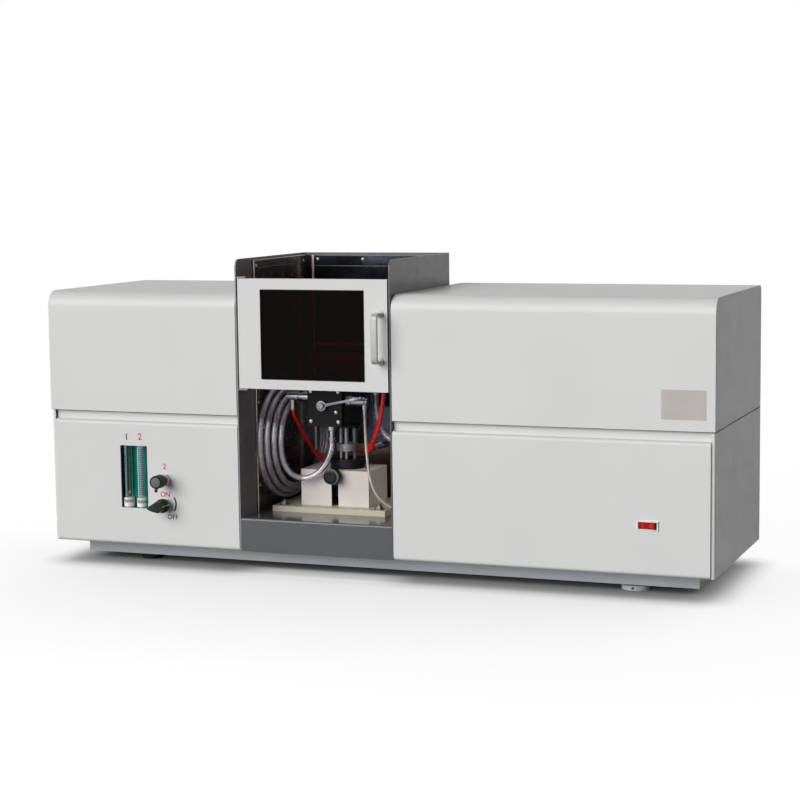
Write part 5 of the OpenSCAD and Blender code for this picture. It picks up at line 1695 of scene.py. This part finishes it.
@dataclass
class BurnerBay:
    """Small hardware of the flame bay."""

    liner: float = 115.0
    liner_front: float = 54.0
    liner_top: float = 376.5
    back: float = 246.0
    rim_r: float = 0.7
    rim_set: Pair = (0.2, 0.5)
    rim_foot: float = 1.0
    rim_end: float = 1.0
    screw: Pair = (2.6, 1.2)
    screw_ends: Pair = (8.0, 10.0)
    side_screws: Triple = (40.0, 165.0, 368.0)
    back_screws: tuple[float, ...] = (-95.0, -19.0, 60.0, 104.0)
    back_screw_z: float = 370.0
    box_screw: Triple = (49.5, 112.6, 45.5)
    corner_strip: float = -103.0
    strip_half: float = 1.8
    strip_gap: float = 2.0
    side_gap: float = 0.4
    bed: float = 0.3
    strip_foot: float = 2.0
    strip_proud: Pair = (1.0, 0.6)
    seam_proud: Pair = (0.4, 0.9)
    seam_end: float = 1.0
    seam_edge: float = 0.15
    back_strip: Pair = (235.0, 239.0)
    back_seam: Pair = (359.2, 360.4)
    top_seam: float = 1.4
    side_seams: tuple[Pair, Pair] = ((260.8, 262.2), (364.2, 365.4))
    kick: Pair = (1.0, 82.0)
    kick_proud: float = 0.7
    kick_edge: float = 0.2
    face: Triple = (-14.5, 76.0, 159.5)
    face_screw: Pair = (2.75, 0.5)
    face_pitch: Pair = (22.0, 22.5)
    face_proud: float = 1.6
    button: Pair = (18.0, -8.0)
    button_cap: tuple[Pair, ...] = (
        (3.75, 0.0), (3.7, 0.5), (3.2, 1.1), (2.3, 1.65), (1.2, 1.95), (0.1, 2.05),
    )
    clip: Triple = (-17.5, 73.5, 161.0)
    clip_length: float = 66.0
    clip_thick: float = 4.0
    clip_gap: float = 0.1
    clip_edge: float = 0.5
    clip_rise: float = 12.0
    finger_back: float = 7.0
    finger: tuple[Pair, ...] = ((2.6, -0.5), (2.6, 0.4), (2.2, 0.9), (0.1, 1.0))
    boss: tuple[Pair, ...] = (
        (3.0, -8.4), (3.0, -2.3), (7.4, -2.3), (8.0, -1.8), (8.0, 3.2), (7.5, 4.0), (5.2, 4.1),
        (5.0, 4.6), (5.0, 6.4), (4.4, 7.0), (1.8, 7.0), (1.6, 6.0), (0.1, 5.8),
    )
    knob: Triple = (-6.0, 88.0, 55.0)
    grip: tuple[Pair, ...] = (
        (7.0, 0.0), (10.6, 0.0), (11.4, 0.8), (12.0, 2.0), (12.0, 13.0), (11.2, 14.6), (9.6, 15.6),
        (7.2, 16.0), (6.6, 15.4), (0.1, 15.2),
    )
    grip_span: Pair = (1.5, 14.0)
    hoop: tuple[Pair, ...] = ((11.2, 12.2), (12.2, 12.4), (12.2, 13.6), (11.6, 14.6), (10.9, 15.0))
    threads: int = 18
    thread_r: Pair = (3.0, 2.6)
    stud_tip: tuple[Pair, Pair] = ((2.4, -19.8), (0.1, -20.0))
    column: Pair = (0.0, 127.0)
    ring_r: float = 15.98
    ring_z: float = 90.0
    ring_ticks: int = 24
    ring_span: Pair = (200.0, 140.0)
    tick_half: float = 0.15
    tick_deep: float = 0.08
    tick_rise: Pair = (3.0, 5.0)
    tall_every: int = 4

    def build(self, bench: Bench) -> None:
        """Make all hardware of the bay.

        Args:
            bench: Shared frame, palette and datum points.
        """
        self._rims(bench)
        self._liner_screws(bench)
        self._plate_screws(bench)
        self._clip(bench)
        self._lift_knob(bench)
        self._ring_marks(bench)
        self._seams(bench)

    def _rims(self, bench: Bench) -> None:
        """Lay the bright folded rims along the polished liners.

        Args:
            bench: Shared frame, palette and datum points.
        """
        blank = Blank()
        bead = arc_points((0, 0), self.rim_r, 0, 360, steps=10)[:-1]
        inset, ahead = self.rim_set
        front, back, top = self.liner_front - ahead, self.back - self.rim_end, self.liner_top
        for side in (-1, 1):
            x = side * (self.liner - inset)
            corners = [(x, front, self.rim_foot), (x, front, top), (x, back, top)]
            blank.swept([bench.bay.at(*p) for p in corners], bead)
        bench.fit(blank, "liner_rims", "rim_steel", "housing")

    def _liner_screws(self, bench: Bench) -> None:
        """Make the screws of the liners and the one in the lift box's side.

        Args:
            bench: Shared frame, palette and datum points.
        """
        screws = Blank()
        near, far = self.screw_ends
        for side in (-1, 1):
            for y in (self.liner_front + near, self.back - far):
                for z in self.side_screws:
                    self._dome(screws, bench.bay.at(side * self.liner, y, z), (-side, 0, 0), self.screw)
        for x in self.back_screws:
            self._dome(screws, bench.bay.at(x, self.back, self.back_screw_z), FRONTWARD, self.screw)
        bench.fit(screws, "liner_screws", "steel", "housing")
        side_screw = Blank()
        self._dome(side_screw, bench.bay.at(*self.box_screw), RIGHTWARD, self.screw)
        bench.fit(side_screw, "lift_box_screw", "steel", "housing")

    def _seams(self, bench: Bench) -> None:
        """Fix the bright strips, the dim seams and the kick plate to the liners.

        Args:
            bench: Shared frame, palette and datum points.
        """
        back, x, top = self.back, self.corner_strip, self.liner_top
        left, right, deep = x + self.strip_gap, self.liner - self.side_gap, back + self.bed
        wall, inner = -self.liner - self.bed, -self.liner + self.side_gap
        start, end = self.liner_front + self.seam_end, back - self.seam_end
        corner_y, strip_y = (back - proud for proud in self.strip_proud)
        seam_y, top_y = (back - proud for proud in self.seam_proud)
        bright = [
            ((x - self.strip_half, corner_y, self.strip_foot), (x + self.strip_half, deep, top)),
            ((left, strip_y, self.back_strip[0]), (right, deep, self.back_strip[1])),
        ]
        dim = [
            ((left, seam_y, self.back_seam[0]), (right, deep, self.back_seam[1])),
            ((left, top_y, top - self.top_seam), (right, deep, top)),
        ]
        dim += [((wall, start, low), (inner, end, high)) for low, high in self.side_seams]
        for name, finish, slot, runs in (
            ("liner_strips", "rim_steel", "steel", bright), ("liner_seams", "seam_steel", "black_steel", dim)
        ):
            blank = Blank()
            for low, high in runs:
                blank.box(bench.bay.at(*low), bench.bay.at(*high), self.seam_edge, steps=1)
            bench.fit(blank, name, finish, "housing")
        low = bench.bay.at(left, back - self.kick_proud, self.kick[0])
        plate = Blank().box(low, bench.bay.at(right, deep, self.kick[1]), self.kick_edge, steps=1)
        bench.fit(plate, "back_kick_plate", "kick_steel", "housing")

    def _dome(self, blank: Blank, base: Vector, axis: Triple, size: Pair) -> None:
        """Add a domed screw head with a socket in its middle.

        Args:
            blank: The mesh to add to.
            base: Foot of the head, in metres.
            axis: Way that the head faces.
            size: Radius and height of the head.
        """
        r, h = size
        profile = [(r, -0.2), (r, h * 0.3), (r * 0.86, h * 0.72), (r * 0.6, h * 0.95), (r * 0.42, h)]
        profile += [(r * 0.36, h * 0.9), (r * 0.34, h * 0.3), (0.05, h * 0.2)]
        blank.turned(base, axis, profile, sides=24)

    def _plate_screws(self, bench: Bench) -> None:
        """Make the chamber plate's screws and the steel button.

        Args:
            bench: Shared frame, palette and datum points.
        """
        blank = Blank()
        x, y, z = self.face
        across, up = self.face_pitch
        for i in (-1, 1):
            for k in (-1, 1):
                base = bench.bay.at(x + i * across, y - self.face_proud, z + k * up)
                self._dome(blank, base, FRONTWARD, self.face_screw)
        bench.fit(blank, "chamber_screws", "steel", "carriage")
        place = bench.bay.at(x + self.button[0], y, z + self.button[1])
        button = Blank().turned(place, FRONTWARD, self.button_cap, sides=32)
        bench.fit(button, "chamber_button", "steel", "carriage")

    def _clip(self, bench: Bench) -> None:
        """Make the clip lever: a waisted arm on a stepped boss with a finger end.

        Args:
            bench: Shared frame, palette and datum points.
        """
        x, back, z = self.clip
        front = back - self.clip_thick
        length = self.clip_length
        top = [
            (0.0, 4.2), (9.0, 2.2), (22.0, 1.6), (length - 22, 1.7), (length - 10, 2.5), (length - 2.5, 2.5),
            (length, 1.1),
        ]
        outline = top + [(u, -v) for u, v in reversed(top)]
        corners = [Vector((u, front, v)) * MM for u, v in outline]
        arm = Blank().plate(corners, Vector((0, self.clip_thick - self.clip_gap, 0)) * MM)
        level = [e for e in arm.mesh.edges if abs(e.verts[0].co.y - e.verts[1].co.y) < TOUCH]
        arm.eased(level, self.clip_edge, steps=2)
        tip = Vector((length - self.finger_back, front, 0.0)) * MM
        arm.turned(tip, FRONTWARD, self.finger, sides=24)
        arm.moved(Matrix.Rotation(math.radians(-self.clip_rise), 4, "Y"))
        arm.moved(Matrix.Translation(bench.bay.at(x, 0.0, z)))
        arm.turned(bench.bay.at(x, back, z), FRONTWARD, self.boss, sides=40)
        bench.fit(arm, "clip_arm", "dull_steel", "clip", replaces=("clip_lever",))

    def _lift_knob(self, bench: Bench) -> None:
        """Make the fluted clamp knob with its bright band and its threaded stud.

        Args:
            bench: Shared frame, palette and datum points.
        """
        base = bench.bay.at(*self.knob)
        span = self.grip_span
        grip = Blank().turned(base, FRONTWARD, self.grip, sides=120, flutes=20, depth=0.9, span=span)
        bench.fit(grip, "clamp_grip", "black_plastic", "clamp", replaces=("lift_knob",))
        band = Blank().turned(base, FRONTWARD, self.hoop, sides=64, ring=True)
        bench.fit(band, "clamp_band", "satin_alloy", "clamp")
        crest, root = self.thread_r
        thread = [(crest, 1.0)]
        for k in range(self.threads):
            thread += [(crest, -1.0 - k), (root, -1.5 - k)]
        thread += self.stud_tip
        stud = Blank().turned(base, FRONTWARD, thread, sides=24)
        bench.fit(stud, "clamp_stud", "steel", "clamp", replaces=("lift_knob",))

    def _ring_marks(self, bench: Bench) -> None:
        """Mark the graduations round the column's ring, as thin raised ink.

        Args:
            bench: Shared frame, palette and datum points.
        """
        blank = Blank()
        x, y = self.column
        start, span = self.ring_span
        short, long = self.tick_rise
        for k in range(self.ring_ticks):
            a = math.radians(start + span * k / (self.ring_ticks - 1))
            tall = short if k % self.tall_every else long
            out = Vector((math.cos(a), math.sin(a), 0.0))
            side = Vector((-math.sin(a), math.cos(a), 0.0)) * self.tick_half * MM
            foot = bench.bay.at(x, y, self.ring_z) + out * self.ring_r * MM
            corners = [foot - side, foot + side]
            corners += [p + Vector((0, 0, tall)) * MM for p in reversed(corners)]
            blank.plate(corners, out * self.tick_deep * MM)
        bench.fit(blank, "ring_graduations", "black_ink", "carriage")


@dataclass
class LampHouse:
    """Hollow-cathode lamps on the turret."""

    x_back: float = -405.0
    x_front: float = -255.0
    radius: float = 19.0
    circle: float = 32.0
    centre: Pair = (127.0, 259.0)
    count: int = 4
    base_length: float = 34.0
    rod_off: float = 13.0

    def build(self, bench: Bench) -> None:
        """Make the envelopes, cathodes and bases of the lamps.

        Args:
            bench: Shared frame, palette and datum points.
        """
        glass, metal, bases = Blank(), Blank(), Blank()
        for k in range(self.count):
            a = math.radians(90 + 360 * k / self.count)
            y = self.centre[0] + self.circle * math.cos(a)
            z = self.centre[1] + self.circle * math.sin(a)
            base = bench.front.at(self.x_back, y, z)
            self._envelope(base, glass)
            self._electrodes(base, metal)
            self._foot(base, bases)
        bench.fit(glass, "lamp_envelopes", "lamp_glass", "turret", replaces=("lamps",))
        bench.fit(metal, "lamp_cathodes", "cathode", "turret", replaces=("lamps",))
        bench.fit(bases, "lamp_bases", "black_plastic", "turret", replaces=("lamps",))

    def _envelope(self, base: Vector, glass: Blank) -> None:
        """Add one lamp's glass envelope and its window.

        Args:
            base: Rear end of the lamp, in metres.
            glass: The mesh to add to.
        """
        r, length, b = self.radius, self.x_front - self.x_back, self.base_length
        outer = [
            (r - 2.2, b - 3), (r - 1.4, b + 2), (r, b + 8), (r, length - 16), (r - 1, length - 8),
            (r - 1, length),
        ]
        inner = [
            (r - 2.4, length), (r - 2.4, length - 10), (r - 1.4, length - 18), (r - 1.4, b + 9),
            (r - 3.6, b + 2), (r - 3.8, b - 3),
        ]
        window = [(r - 2.5, length - 2.4), (r - 2.5, length - 0.2), (0.1, length - 0.2), (0.1, length - 2.4)]
        glass.turned(base, RIGHTWARD, outer + inner, sides=44, ring=True)
        glass.turned(base, RIGHTWARD, window, sides=44)

    def _electrodes(self, base: Vector, metal: Blank) -> None:
        """Add one lamp's cathode cup, its anode ring and the rods that hold them.

        Args:
            base: Rear end of the lamp, in metres.
            metal: The mesh to add to.
        """
        b = self.base_length
        cup = [
            (3.0, b + 6), (3.0, b + 22), (9.5, b + 24), (10.0, b + 26), (10.0, b + 58), (9.0, b + 60),
            (6.0, b + 60), (5.6, b + 59), (5.6, b + 44), (0.1, b + 43),
        ]
        metal.turned(base, RIGHTWARD, cup, sides=36)
        anode = [(14.0, b + 63), (14.4, b + 64), (14.0, b + 65), (12.0, b + 65), (12.0, b + 63)]
        metal.turned(base, RIGHTWARD, anode, sides=36, ring=True)
        for side in (-1, 1):
            rod = base + Vector((0, side * self.rod_off, 0)) * MM
            metal.turned(rod, RIGHTWARD, [(0.8, b + 4), (0.8, b + 64)], sides=12)

    def _foot(self, base: Vector, bases: Blank) -> None:
        """Add one lamp's ridged base.

        Args:
            base: Rear end of the lamp, in metres.
            bases: The mesh to add to.
        """
        r, b = self.radius, self.base_length
        profile = [
            (r - 6, 0.0), (r - 5, 0.0), (r - 3.4, 1.0), (r - 3.0, 4.0), (r - 2.0, 6.0), (r - 2.0, b - 2),
            (r - 2.6, b), (r - 5.0, b),
        ]
        bases.turned(base, RIGHTWARD, profile, sides=96, flutes=24, depth=0.5, span=(5.5, b - 2.5))


@dataclass
class RearSide:
    """Fasteners at the rear."""

    rear: float = 320.0
    fan: Pair = (310.0, 110.0)
    fan_pitch: float = 71.5
    panel_x: tuple[float, ...] = (-495.0, -352.0, -212.0, 60.0, 205.0, 495.0)
    panel_z: Pair = (14.5, 186.5)
    head: tuple[Pair, ...] = (
        (3.0, -0.3), (3.0, 0.5), (2.8, 1.2), (2.2, 1.7), (1.4, 1.8), (1.3, 0.8), (0.05, 0.7),
    )

    def build(self, bench: Bench) -> None:
        """Make the fan's screws and the panel screws.

        Args:
            bench: Shared frame, palette and datum points.
        """
        half = self.fan_pitch / 2
        places = [(self.fan[0] + i * half, self.fan[1] + k * half) for i in (-1, 1) for k in (-1, 1)]
        places += [(x, z) for x in self.panel_x for z in self.panel_z]
        blank = Blank()
        for x, z in places:
            blank.turned(bench.front.at(x, self.rear, z), BACKWARD, self.head, sides=24)
        bench.fit(blank, "rear_screws", "steel", "housing")


def bay_datum() -> Datum:
    """Middle of the bay's front at the height of its floor."""
    low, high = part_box("bay_floor")
    return Datum(((low.x + high.x) / 2, low.y, high.z))


def front_datum() -> Datum:
    """Middle of the front at the height of the lower panels' foot."""
    low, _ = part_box("left_front_panel")
    return Datum((0.0, low.y, low.z))


def main() -> None:
    """Load the frame and build every sub-assembly."""
    logging.basicConfig(level=logging.INFO, format="%(name)s: %(message)s")
    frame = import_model()
    front = front_datum()
    Studio().build(front)
    bench = Bench(frame, Palette(Effects()), bay_datum(), front)
    Hoses().build(bench)
    Solids().dress(bench)
    for assembly in (Marks(), GasPanel(), PowerSwitch(), Door(), BurnerBay(), LampHouse(), RearSide()):
        assembly.build(bench)
        LOG.info("built %s", type(assembly).__name__)


if __name__ == "__main__":
    main()
